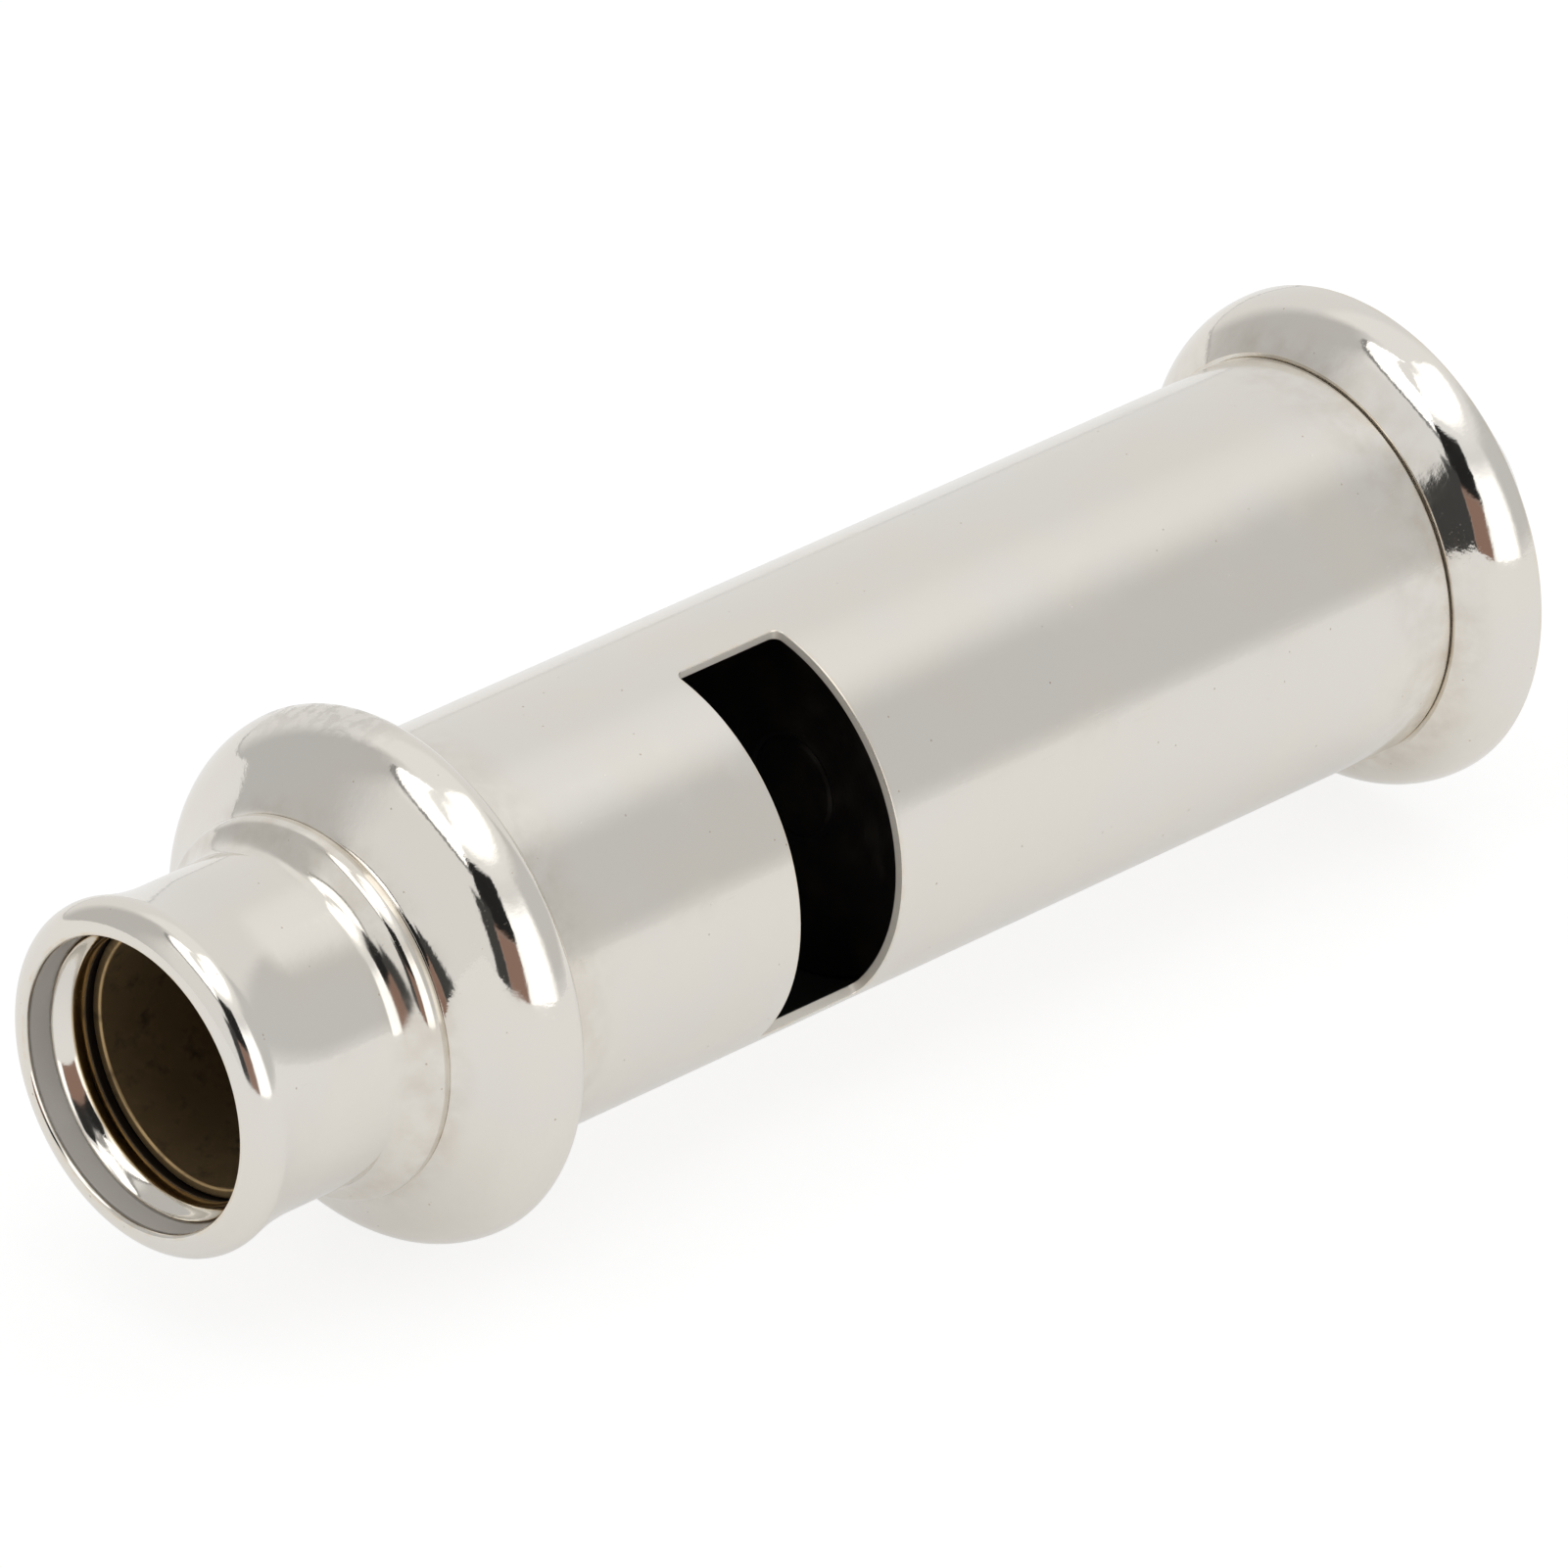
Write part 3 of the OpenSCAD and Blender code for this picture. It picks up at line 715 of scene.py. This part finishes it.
web = spin("cap_disc", rounded([
    (web_x, screw_root_r + gap, 0.05),
    (web_x, web_r, 0.03),
    (web_end_x, web_r, 0.03),
    (web_end_x, screw_root_r + gap, 0.05),
]))
stand_for(web, "cap_web", "tuning_cap")

nut_x, nut_end_x = span("screw_lock_nut")[:2]
nut_flat_r = 3.0
nut_blank_r = nut_flat_r * 1.2
nut_inner_r = 2.4


def hexagon(x, r, angle):
    """The smaller of the hexagon's radius and the bevel's cone, on the outside only."""
    flat_r = nut_flat_r / np.cos((angle + np.pi / 6) % (np.pi / 3) - np.pi / 6)
    depth = np.minimum(x - nut_x, nut_end_x - x)
    cone = nut_flat_r + 0.05 + 1.7 * depth
    return np.where(r > nut_inner_r + 0.1, np.minimum(flat_r, cone) * r / nut_blank_r, r)


nut_share = np.linspace(0, 1, 25)
nut = spin("lock_nut_hexagon", rounded(
    [(nut_x, screw_root_r + gap, 0.05), (nut_x, nut_inner_r, 0)]
    + curve(nut_x + (nut_end_x - nut_x) * nut_share, nut_blank_r + 0 * nut_share)
    + [(nut_end_x, nut_inner_r, 0), (nut_end_x, screw_root_r + gap, 0.05)]
), bend=hexagon)
stand_for(nut, "screw_lock_nut", "tuning_cap")

# %% [markdown]
# The ring of the cap is a bead with a straight front slope, a full round crest and a nearly flat
# back. The slope leaves the front edge and just touches the circle of the crest. The dome sits in
# the ring with a flat foot, and a small groove is left between the two.

# %% Ring and dome of the cap
ring_x, ring_end_x, ring_r = span("cap_ring")
ring_crest_x = ring_x + 3.11
ring_round = 3.0
ring_edge_round = 0.2
ring_bore_r = sleeve_r + gap
groove_w = 0.3


def ring_outline():
    """Bore, front face, slope, round crest, rear edge, back and groove.

    The slope's angle is the angle up to the centre plus the arcsine of radius over distance.
    """
    front_r, front_x = tube_r + 0.19, ring_x - 0.06
    run, climb = ring_crest_x - front_x, ring_r - ring_round - front_r
    slope = math.degrees(math.atan2(climb, run) + math.asin(ring_round / math.hypot(run, climb)))
    return rounded(
        [(front_x, ring_bore_r, 0.03), (front_x, front_r, 0.03)]
        + arc((ring_crest_x, ring_r - ring_round), ring_round, -slope, 0, 40)
        + [(ring_end_x, ring_r, ring_edge_round)]
        + [(ring_end_x, ring_bore_r + groove_w, 0.08), (ring_end_x - groove_w, ring_bore_r, 0.05)]
    )


ring = spin("cap_ring_turned", ring_outline())
stand_for(ring, "cap_ring", "tuning_cap")

dome_x, dome_end_x, dome_foot_r = span("cap_dome")
dome_r = dome_end_x - ring_end_x
dome_wall = 0.55
dome = disc("cap_dome_spun",
            arc((ring_end_x, 0), dome_r, 0, 90, 48)[::-1]
            + [(ring_end_x, dome_foot_r, 0.06), (dome_x, dome_foot_r, 0.03)]
            + [(dome_x, dome_r - dome_wall, 0.03)]
            + arc((ring_end_x, 0), dome_r - dome_wall, 0, 90, 32), around=300)
stand_for(dome, "cap_dome", "tuning_cap")

# %% [markdown]
# The finishes come next. In a shader every sum is a node, and a page of nodes is hard to read. So
# two small classes let the finishes be written as formulas: a Wire is the output of a node, and
# arithmetic on wires adds Math nodes. A Bench makes every other node through one method.

# %% Arithmetic on shader wires
class Wire:
    """The output of a shader node, as a value to reckon with."""

    def __init__(self, bench, socket):
        self.bench = bench
        self.socket = socket

    def reckon(self, operation, *terms):
        """One Math node: the terms are wires or numbers."""
        made = self.bench.node("ShaderNodeMath", {"operation": operation}, dict(enumerate(terms)))
        return made["Value"]

    def __add__(self, other):
        return self.reckon("ADD", self, other)

    def __sub__(self, other):
        return self.reckon("SUBTRACT", self, other)

    def __rsub__(self, other):
        return self.reckon("SUBTRACT", other, self)

    def __mul__(self, other):
        return self.reckon("MULTIPLY", self, other)

    def apply(self, operation):
        """A Math node of one term, such as a root or a sine."""
        return self.reckon(operation, self)

    __radd__ = __add__
    __rmul__ = __mul__


# %% [markdown]
# All finishes measure in millimetres from the mouth and the axis, so that a scratch or a speck
# has its real size, and a stain can be put beside the joint where it belongs. The pieces lie at
# the origin, so their Object coordinates are the frame's own. Noise is taken in space and not
# round the axis: that leaves no seam. Stretched along x it looks drawn, squeezed it looks turned.

# %% The bench
class Bench:
    """A node tree with the whistle's coordinates, and the patterns that the finishes share."""

    def __init__(self, owner):
        owner.use_nodes = True
        self.tree = owner.node_tree
        self.tree.nodes.clear()

    def node(self, kind, settings=None, sockets=None):
        """A node of this kind, with its settings made first, then its sockets. Gives its outputs."""
        made = self.tree.nodes.new(kind)
        for key, value in (settings or {}).items():
            setattr(made, key, value)
        for key, value in (sockets or {}).items():
            named = [s for s in made.inputs if s.name == key and s.enabled]
            socket = made.inputs[key] if isinstance(key, int) else named[0]
            if isinstance(value, Wire):
                self.tree.links.new(value.socket, socket)
            else:
                socket.default_value = value
        return {socket.name: Wire(self, socket) for socket in made.outputs if socket.enabled}

    def start(self):
        """The point in mm as a vector, its parts, its radius and its angle in degrees."""
        point = self.node("ShaderNodeTexCoord")["Object"]
        self.point = self.node("ShaderNodeVectorMath", {"operation": "MULTIPLY_ADD"}, {
            0: point, 1: (1 / MM, -1 / MM, 1 / MM), 2: (-mouth_end / MM, 0, -axis_height / MM),
        })["Vector"]
        parts = self.node("ShaderNodeSeparateXYZ", None, {"Vector": self.point})
        self.x, side, height = parts["X"], parts["Y"], parts["Z"]
        self.radius = (side * side + height * height).apply("SQRT")
        self.angle = height.reckon("ARCTAN2", height, side) * math.degrees(1)
        self.edge = self.node("ShaderNodeAttribute", {"attribute_name": "edge"})["Fac"]
        return self

    def rise(self, value, low, high):
        """Smoothstep: 0 at low, 1 at high."""
        return self.node("ShaderNodeMapRange", {"interpolation_type": "SMOOTHSTEP"},
                         {"Value": value, "From Min": low, "From Max": high})["Result"]

    def between(self, value, low, high, soft):
        """1 between low and high, with soft borders."""
        return self.rise(value, low - soft, low + soft) * self.rise(value, high + soft, high - soft)

    def blend(self, share, first, second):
        """A colour that goes from first to second with the share."""
        return self.node("ShaderNodeMix", {"data_type": "RGBA"},
                         {"Factor": share, "A": first, "B": second})["Result"]

    def noise(self, scale, detail=2.0, stretch=(1, 1, 1), turn=(0, 0, 0)):
        """Noise with this many humps in a mm, after the space is turned and stretched."""
        turned = self.node("ShaderNodeMapping", None,
                           {"Vector": self.point, "Rotation": turn, "Scale": stretch})
        return self.node("ShaderNodeTexNoise", None,
                         {"Vector": turned["Vector"], "Scale": scale, "Detail": detail})["Fac"]

    def specks(self, scale, size, share):
        """Small round spots of up to this size in mm, in a share of the cells of a cell pattern."""
        cell = self.node("ShaderNodeTexVoronoi", None, {"Vector": self.point, "Scale": scale})
        chance = self.node("ShaderNodeSeparateColor", None, {"Color": cell["Color"]})
        reach = self.rise(chance["Red"], 1 - share, 1) * size * scale
        return self.rise(cell["Distance"] - reach, 0, -0.4 * size * scale)

    def hairs(self, turn, share=0.5):
        """Hairline scratches: noise stretched into threads, of which only the tops are kept."""
        hair = self.rise(self.noise(1.0, 1.0, (0.35, 9, 9), turn), 0.69, 0.75)
        patch = self.noise(0.35, 1.0, (1, 1, 1), turn)
        return hair * self.rise(patch, 0.62 - 0.2 * share, 0.72 - 0.2 * share)

    def turned(self):
        """The fine rings of a lathe's tool: noise squeezed along x."""
        return self.noise(1.0, 2.0, (14, 0.25, 0.25))

    def circles(self, rate):
        """Circles round the axis: the sine of the radius times the rate."""
        return (self.radius * rate).apply("SINE")

    def end(self, colour, rough, height, metal=1.0):
        """The shader at the end of the tree. The surface is raised by the height in mm."""
        normal = self.node("ShaderNodeBump", None, {"Height": height, "Distance": MM})["Normal"]
        shader = self.node("ShaderNodeBsdfPrincipled", None, {
            "Base Color": colour, "Metallic": metal, "Roughness": rough, "Normal": normal,
        })["BSDF"]
        self.node("ShaderNodeOutputMaterial", None, {"Surface": shader})


def finish_for(name, *pieces):
    """A new finish on these pieces, as a bench that is ready to work on."""
    material = bpy.data.materials.new(name)
    for piece in pieces:
        piece.data.materials.clear()
        piece.data.materials.append(material)
    print("finish", name, "on", ", ".join(piece.name for piece in pieces))
    return Bench(material).start()


# %% [markdown]
# The whistle is brass with a thin coat of nickel. Nickel is a mirror with a warm grey tint, and
# what tells it from chrome is small: the tint drifts, the coat goes brown beside the soldered
# joints, fingers leave dull patches, and it has pits, hairlines and, on sharp edges, a little brass
# showing through. All turned parts share one recipe, with their own strength of each.

# %% Nickel
NICKEL_WARM = (0.795, 0.757, 0.690, 1)
NICKEL_COOL = (0.785, 0.757, 0.705, 1)
STAIN = (0.420, 0.330, 0.240, 1)
BRASS = (0.720, 0.520, 0.240, 1)
PIT = 0.07


def nickel(bench, gloss, stain, lines, ripple, worn=0.30):
    """Colour, roughness and height of nickel plate.

    gloss is the least roughness. stain is a mask of the brown beside a joint. lines are the marks
    of the tool, from 0 to 1. worn is how much brass the sharp edges show. Height adds slow waves of
    the hand polish, the ripple of the plating in mm, the lines and the pits.
    """
    drift = bench.rise(bench.noise(0.16, 3.0), 0.35, 0.65)
    smear = bench.rise(bench.noise(0.40, 5.0), 0.50, 0.72)
    pit = bench.specks(1.9, PIT, 0.22)
    hair = bench.hairs((0.3, 0.5, 0.9)) + bench.hairs((1.1, 2.2, 0.2), 0.7)
    wear = bench.edge * bench.rise(bench.noise(1.3, 4.0), 0.35, 0.70)
    blotch = stain * bench.rise(bench.noise(0.8, 3.0), 0.25, 0.85)
    colour = bench.blend(drift, NICKEL_WARM, NICKEL_COOL)
    colour = bench.blend(wear * worn, colour, BRASS)
    colour = bench.blend(blotch * 0.42, colour, STAIN)
    colour = bench.blend(pit * 0.55, colour, STAIN)
    rough = gloss + 0.08 * smear + 0.03 * blotch + 0.08 * hair + 0.12 * pit + 0.08 * wear
    wave = 0.0030 * bench.noise(0.55, 1.0) + ripple * bench.noise(2.4, 3.0)
    height = wave + 0.0004 * lines + 0.0005 * hair - 0.0015 * pit
    return colour, rough, height


# %% [markdown]
# The mouthpiece is stained beside the collar. The cup inside its rim stayed satin and pale, the
# ridge is rubbed down to the brass, and the bore behind it is dark.

# %% Mouthpiece finish
bench = finish_for("nickel_mouthpiece", mouthpiece)
beside_collar = bench.between(bench.x, 8.6, 13.0, 0.8)
cup = bench.rise(bench.radius, 7.0, 6.85) * bench.between(bench.x, 0.25, 1.45, 0.15)
ridge = bench.between(bench.x, 2.25, 3.0, 0.12) * bench.rise(bench.radius, 6.55, 6.38)
bore = bench.rise(bench.x, 2.9, 3.2) * bench.rise(bench.radius, 6.75, 6.55)
colour, rough, height = nickel(bench, 0.085, beside_collar * 0.6, bench.turned(), 0.003)
colour = bench.blend(cup * (0.75 + 0.4 * bench.noise(0.8, 4.0)), colour, (0.86, 0.83, 0.78, 1))
colour = bench.blend(ridge * 0.85, colour, BRASS)
colour = bench.blend(bore, colour, (0.016, 0.011, 0.009, 1))
rough = rough + 0.24 * cup + 0.08 * ridge + 0.40 * bore
bench.end(colour, rough, height, 1 - 0.7 * cup - 0.4 * bore)

# %% [markdown]
# The top of the collar was scuffed where the whistle was put down again and again: there the gloss is
# low and the surface has small bumps. Its colour there is also made a darker grey, which is painted
# shade.

# %% Collar finish
bench = finish_for("nickel_collar", collar)
beside_tube = bench.between(bench.x, 15.5, 17.0, 0.5) + bench.between(bench.x, 9.5, 11.0, 0.5)
colour, rough, height = nickel(bench, 0.06, beside_tube * 0.7, bench.turned(), 0.005, 0.12)
scuff_and_painted_shade = bench.between(bench.x, 13.4, 16.2, 0.9) * bench.between(bench.angle, 88, 122, 10)
scuff_and_painted_shade = scuff_and_painted_shade * bench.rise(bench.noise(1.6, 6.0), 0.42, 0.60)
# The darker grey blended in on the top of the collar is painted shade; the roughness and bumps are the
# wear.
colour = bench.blend(scuff_and_painted_shade * 0.35, colour, (0.45, 0.42, 0.38, 1))
bench.end(colour, rough + 0.20 * scuff_and_painted_shade, height + 0.030 * scuff_and_painted_shade * bench.noise(1.8, 5.0))

# %% [markdown]
# The tube was drawn, not turned, so its lines run lengthways. It has the most specks and hairlines,
# since it is what the hand holds. Inside, the wall is made nearly black and rough.
# The radius tells the two apart. The cut faces of the window were filed and not polished.

# %% Tube finish
bench = finish_for("nickel_tube", tube)
drawn_lines = bench.noise(1.0, 2.0, (0.12, 7, 7))
beside_joints = bench.rise(bench.x, 20.5, 16.6) + bench.rise(bench.x, 66.5, 71.0)
colour, rough, height = nickel(bench, 0.125, beside_joints * 0.7, drawn_lines, 0.002, 0.2)
fine = bench.specks(2.3, 0.06, 0.25)
ground = bench.noise(5.0, 3.0)
inside = bench.rise(bench.radius, tube_bore_r + 0.07, tube_bore_r + 0.02)
sawn = bench.between(bench.radius, tube_bore_r + 0.06, tube_r - 0.05, 0.015)
file_marks = bench.noise(6.0, 4.0, (1, 3, 1))
colour = bench.blend(sawn * 0.8, colour, (0.74, 0.70, 0.63, 1))
colour = bench.blend(inside, colour, (0.012, 0.011, 0.010, 1))
rough = rough + 0.12 * fine + 0.45 * inside + 0.30 * sawn
height = height - 0.002 * fine + 0.0005 * ground + 0.010 * sawn * file_marks
bench.end(colour, rough, height, 1 - 0.7 * inside - 0.75 * sawn)

# %% [markdown]
# The ring, the dome and the sleeve belong to the cap. The ring is the brightest of all, for it is
# rubbed most. The dome was spun over a former, which left faint circles round its tip.

# %% Cap finishes
bench = finish_for("nickel_ring", ring)
at_tube = bench.rise(bench.x, ring_x + 1.3, ring_x + 0.1)
bench.end(*nickel(bench, 0.055, at_tube * 0.7, bench.turned(), 0.005))

bench = finish_for("nickel_dome", dome)
at_ring = bench.rise(bench.x, ring_end_x + 0.9, ring_end_x)
bench.end(*nickel(bench, 0.07, at_ring * 0.7, bench.circles(9) * bench.noise(0.8, 3.0), 0.003))

bench = finish_for("nickel_sleeve", sleeve)
streaks = bench.rise(bench.noise(0.5, 3.0, (0.1, 3, 3)), 0.4, 0.6)
rubbed = bench.rise(bench.radius, sleeve_r - 0.3, sleeve_r) * streaks
bench.end(*nickel(bench, 0.12, rubbed * 0.5, bench.turned(), 0.002, 0.6))

# %% [markdown]
# Soft solder is tin and lead: greyer than nickel, dull, with a skin that froze in small wrinkles.

# %% Solder
bench = finish_for("solder_skin", solder)
wrinkle = bench.noise(2.2, 6.0)
flux = bench.rise(bench.noise(0.8, 4.0), 0.48, 0.66)
colour = bench.blend(bench.rise(wrinkle, 0.35, 0.65), (0.52, 0.50, 0.47, 1), (0.68, 0.66, 0.62, 1))
colour = bench.blend(flux * 0.7, colour, (0.20, 0.13, 0.07, 1))
bench.end(colour, 0.26 + 0.20 * wrinkle + 0.2 * flux, 0.02 * wrinkle, 1 - 0.5 * flux)

# %% [markdown]
# Breath goes over the sleeve in the mouth and over the wind plug, and brass that gets damp and dry
# again goes brown, then almost black, in clouds. A few spots keep some gold where it was touched.

# %% Tarnished brass
bench = finish_for("brass_in_the_breath", liner, plug)
cloud = bench.rise(bench.noise(0.30, 6.0), 0.32, 0.68)
crust = bench.rise(bench.noise(1.4, 6.0), 0.50, 0.70)
bright = bench.edge * bench.rise(bench.noise(0.9, 3.0), 0.15, 0.50)
scored = bench.noise(1.0, 2.0, (11, 0.3, 0.3))
colour = bench.blend(cloud, (0.009, 0.006, 0.005, 1), (0.016, 0.010, 0.008, 1))
colour = bench.blend(crust * 0.4, colour, (0.006, 0.005, 0.004, 1))
colour = bench.blend(bright * 0.9, colour, (0.66, 0.47, 0.24, 1))
rough = 0.48 + 0.10 * cloud + 0.10 * crust - 0.25 * bright
bench.end(colour, rough, 0.0008 * crust + 0.0006 * scored, 0.35 + 0.65 * bright)

# %% [markdown]
# The bush, the plate, the stop, the disc and the nut are bare brass straight from the lathe. The tool
# leaves a fine spiral on faces and rings on rounds, and thin oil darkens it in patches.

# %% Turned brass
bench = finish_for("turned_brass", bush, swivel, stop, web, nut)
rings = bench.noise(1.0, 2.0, (16, 0.3, 0.3))
oil = bench.rise(bench.noise(0.7, 5.0), 0.46, 0.70)
colour = bench.blend(oil, (0.76, 0.57, 0.27, 1), (0.50, 0.34, 0.14, 1))
colour = bench.blend(bench.edge * 0.5, colour, (0.90, 0.74, 0.44, 1))
rough = 0.20 + 0.10 * rings + 0.16 * oil - 0.06 * bench.edge
bench.end(colour, rough, 0.0012 * rings + 0.0005 * bench.circles(38))

# %% [markdown]
# The screw is plain steel with a thread that the bush keeps polished: the crests are bright, and
# the roots hold dark grease with some brass dust in it.

# %% Steel screw
bench = finish_for("greased_steel", screw)
root = bench.rise(bench.radius, screw_r - 0.04, screw_root_r + 0.05)
root = root * bench.rise(bench.radius, 1.3, 1.45)
grease = root * bench.rise(bench.noise(1.5, 5.0), 0.30, 0.60)
grind = bench.noise(1.0, 2.0, (18, 0.4, 0.4))
colour = bench.blend(bench.noise(0.5, 3.0), (0.50, 0.50, 0.52, 1), (0.62, 0.61, 0.60, 1))
colour = bench.blend(grease * 0.8, colour, (0.06, 0.045, 0.03, 1))
rough = 0.22 + 0.12 * grind + 0.22 * grease
bench.end(colour, rough, 0.0010 * grind + 0.006 * grease, 1 - 0.6 * grease)

# %% [markdown]
# The piston's face is hard rubber, turned and rubbed with oil: black with a slight brown, satin on
# the flat and a bit shinier on the edge, with the tool's rings still on it.

# %% Hard rubber
bench = finish_for("hard_rubber", face)
bloom = bench.rise(bench.noise(0.6, 5.0), 0.45, 0.72)
dust = bench.specks(2.0, 0.09, 0.2)
colour = bench.blend(bloom, (0.010, 0.009, 0.009, 1), (0.020, 0.017, 0.014, 1))
colour = bench.blend(dust * 0.25, colour, (0.10, 0.09, 0.08, 1))
height = 0.0012 * bench.circles(26) + 0.002 * bench.noise(3.0, 3.0)
bench.end(colour, 0.38 + 0.16 * bloom - 0.10 * bench.edge, height, 0.0)

# %% [markdown]
# The packing is tallowed leather. Its cut edge shows the fibres, and its outside is packed smooth
# and dark with grease. Cells make the grain's small islands, and stretched noise makes the fibres.

# %% Leather
bench = finish_for("tallowed_leather", packing)
grain = bench.node("ShaderNodeTexVoronoi", {"feature": "DISTANCE_TO_EDGE"},
                   {"Vector": bench.point, "Scale": 2.6})
island = bench.rise(grain["Distance"], 0.02, 0.22)
fibre = bench.noise(1.5, 5.0, (6, 1, 1), (0.2, 0.1, 0.4))
tallow = bench.rise(bench.radius, packing_r - 0.5, packing_r)
colour = bench.blend(fibre, (0.20, 0.105, 0.048, 1), (0.36, 0.21, 0.105, 1))
colour = bench.blend(tallow * 0.65, colour, (0.075, 0.040, 0.020, 1))
bench.end(colour, 0.72 - 0.24 * tallow + 0.10 * fibre, 0.020 * island + 0.012 * fibre, 0.0)

# %% [markdown]
# The whistle lies on white card. The camera and the metal see most of that white as its own
# glow, so that it stays white, and the rest is lit by the room, so that it keeps the soft shadow
# under the whistle. The Light Path node tells which kind of ray asks.

# %% Floor
low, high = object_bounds()
turn = turns(96)
reach = np.array([0.0, 0.05, 0.1, 0.2, 0.5, 1.5, 4.0])[:, None]
card_points = np.stack([reach * np.cos(turn), reach * np.sin(turn), 0 * reach * turn + low.z], axis=-1)
floor = make_piece("white_card", [(card_points, False, True)])
bench = finish_for("white_card", floor)
tooth = bench.noise(1.5, 5.0)
paper = bench.blend(tooth, (0.75, 0.75, 0.75, 1), (0.81, 0.81, 0.81, 1))
ray = bench.node("ShaderNodeLightPath")
seen = 0.66 * ray["Is Camera Ray"] + 0.38 * (ray["Is Glossy Ray"] + ray["Is Transmission Ray"])
lit = bench.node("ShaderNodeBsdfDiffuse", None, {"Color": paper})["BSDF"]
glow = bench.node("ShaderNodeEmission", None, {"Color": (1, 1, 1, 1), "Strength": 1.2})["Emission"]
card = bench.node("ShaderNodeMixShader", None, {0: seen, 1: lit, 2: glow})["Shader"]
bench.node("ShaderNodeOutputMaterial", None, {"Surface": card})

# %% [markdown]
# A mirror looks like what stands around it, so the studio is drawn as a picture on the sky: pale
# walls, greyer on the right and the left, soft lamps beside and above, and in front of them a card
# that is black above and brown below. The upper lamp ends at a slanted dark eave. Directions are
# degrees round from the camera and degrees up. That gives the white and black strips on the
# round ridges. The camera itself sees plain white.

# %% Studio
CAMERA_SIDE = math.radians(-136.1)
WALL, GREY_WALL, CEILING, DIM_WALL, LAMP, SIDE_LAMP, DARK = 0.84, 0.65, 0.93, 0.58, 1.65, 1.50, 0.02
BROWN = (0.30, 0.19, 0.15)
studio = bpy.data.worlds.new("studio")
bpy.context.scene.world = studio
bench = Bench(studio)
ray_direction = bench.node("ShaderNodeTexCoord")["Generated"]
parts = bench.node("ShaderNodeSeparateXYZ", None, {"Vector": ray_direction})
ahead = parts["X"] * math.sin(CAMERA_SIDE) + parts["Y"] * math.cos(CAMERA_SIDE)
aside = parts["X"] * math.cos(CAMERA_SIDE) - parts["Y"] * math.sin(CAMERA_SIDE)
round_deg = aside.reckon("ARCTAN2", aside, ahead) * math.degrees(1)
up_deg = parts["Z"].apply("ARCSINE") * math.degrees(1)


def card(tone, level, left, right, bottom, top, soft):
    """The tone so far, with a card of this level hung between these directions, in degrees."""
    here = bench.between(round_deg, left, right, soft) * bench.between(up_deg, bottom, top, soft)
    return tone + here * (level - tone)


tone = WALL + bench.rise(up_deg, 43, 54) * (CEILING - WALL)
tone = card(tone, GREY_WALL, -126, -64, 3, 46, 6)
tone = card(tone, DIM_WALL, 78, 135, -20, 70, 12)
tone = card(tone, SIDE_LAMP, -60, -17, -22, 37, 6)
tone = card(tone, LAMP, -130, 14, 58, 84, 4)
above_eave = up_deg - 0.27 * round_deg
behind_eave = bench.between(round_deg, 14, 112, 3)
tone = tone + behind_eave * bench.between(above_eave, 39.5, 62, 1) * (LAMP - tone)
tone = tone + behind_eave * bench.between(above_eave, 35.8, 39.5, 1) * (0.30 - tone)
tone = card(tone, DARK, -17, 16, 22, 50, 1.5)
tone = card(tone, 0.06, 8, 24, -8, 30, 2)
far_edge = bench.between(up_deg, -0.7, 0.6, 0.5) * bench.rise(ahead, -0.5, -0.7)
tone = tone + far_edge * (0.50 - tone)
brown = bench.between(round_deg, -15, 9, 2) * bench.between(up_deg, -5, 23, 2)
ray = bench.node("ShaderNodeLightPath")
channels = {}
for channel, level in zip(("Red", "Green", "Blue"), BROWN):
    shown = tone + brown * (level - tone)
    channels[channel] = shown + ray["Is Camera Ray"] * (1 - shown)
grey = bench.node("ShaderNodeCombineColor", None, channels)["Color"]
sky = bench.node("ShaderNodeBackground", None, {"Color": grey, "Strength": 1.0})["Background"]
bench.node("ShaderNodeOutputWorld", None, {"Surface": sky})

# %% [markdown]
# The camera stands before the mouth, on the window's side and above, far away with a long lens.
# Its place was worked out from the whistle's outline in the photograph: the aim is a point on the
# axis, moved a little along the picture's sides.

# %% Camera
azimuth, elevation = math.radians(-43.9), math.radians(28.06)
distance, lens = 0.8332, 434.9
aim_x, aim_right, aim_above = 37.61, 0.8343, 0.6854
away = Vector((math.sin(azimuth) * math.cos(elevation), -math.cos(azimuth) * math.cos(elevation),
               math.sin(elevation)))
right = Vector((math.cos(azimuth), math.sin(azimuth), 0))
above = away.cross(right)
aim = Vector((mouth_end + aim_x * MM, 0, axis_height))
aim += right * aim_right * MM + above * aim_above * MM
camera = bpy.data.objects.new("camera", bpy.data.cameras.new("camera"))
bpy.context.scene.collection.objects.link(camera)
camera.data.lens = lens
camera.data.sensor_width = 36
camera.data.clip_end = 10
turned = Matrix((right, above, away)).transposed().to_4x4()
camera.matrix_world = Matrix.Translation(aim + away * distance) @ turned
bpy.context.scene.camera = camera
bpy.context.scene.view_settings.view_transform = "Standard"
print(f"camera {distance} m from the whistle")
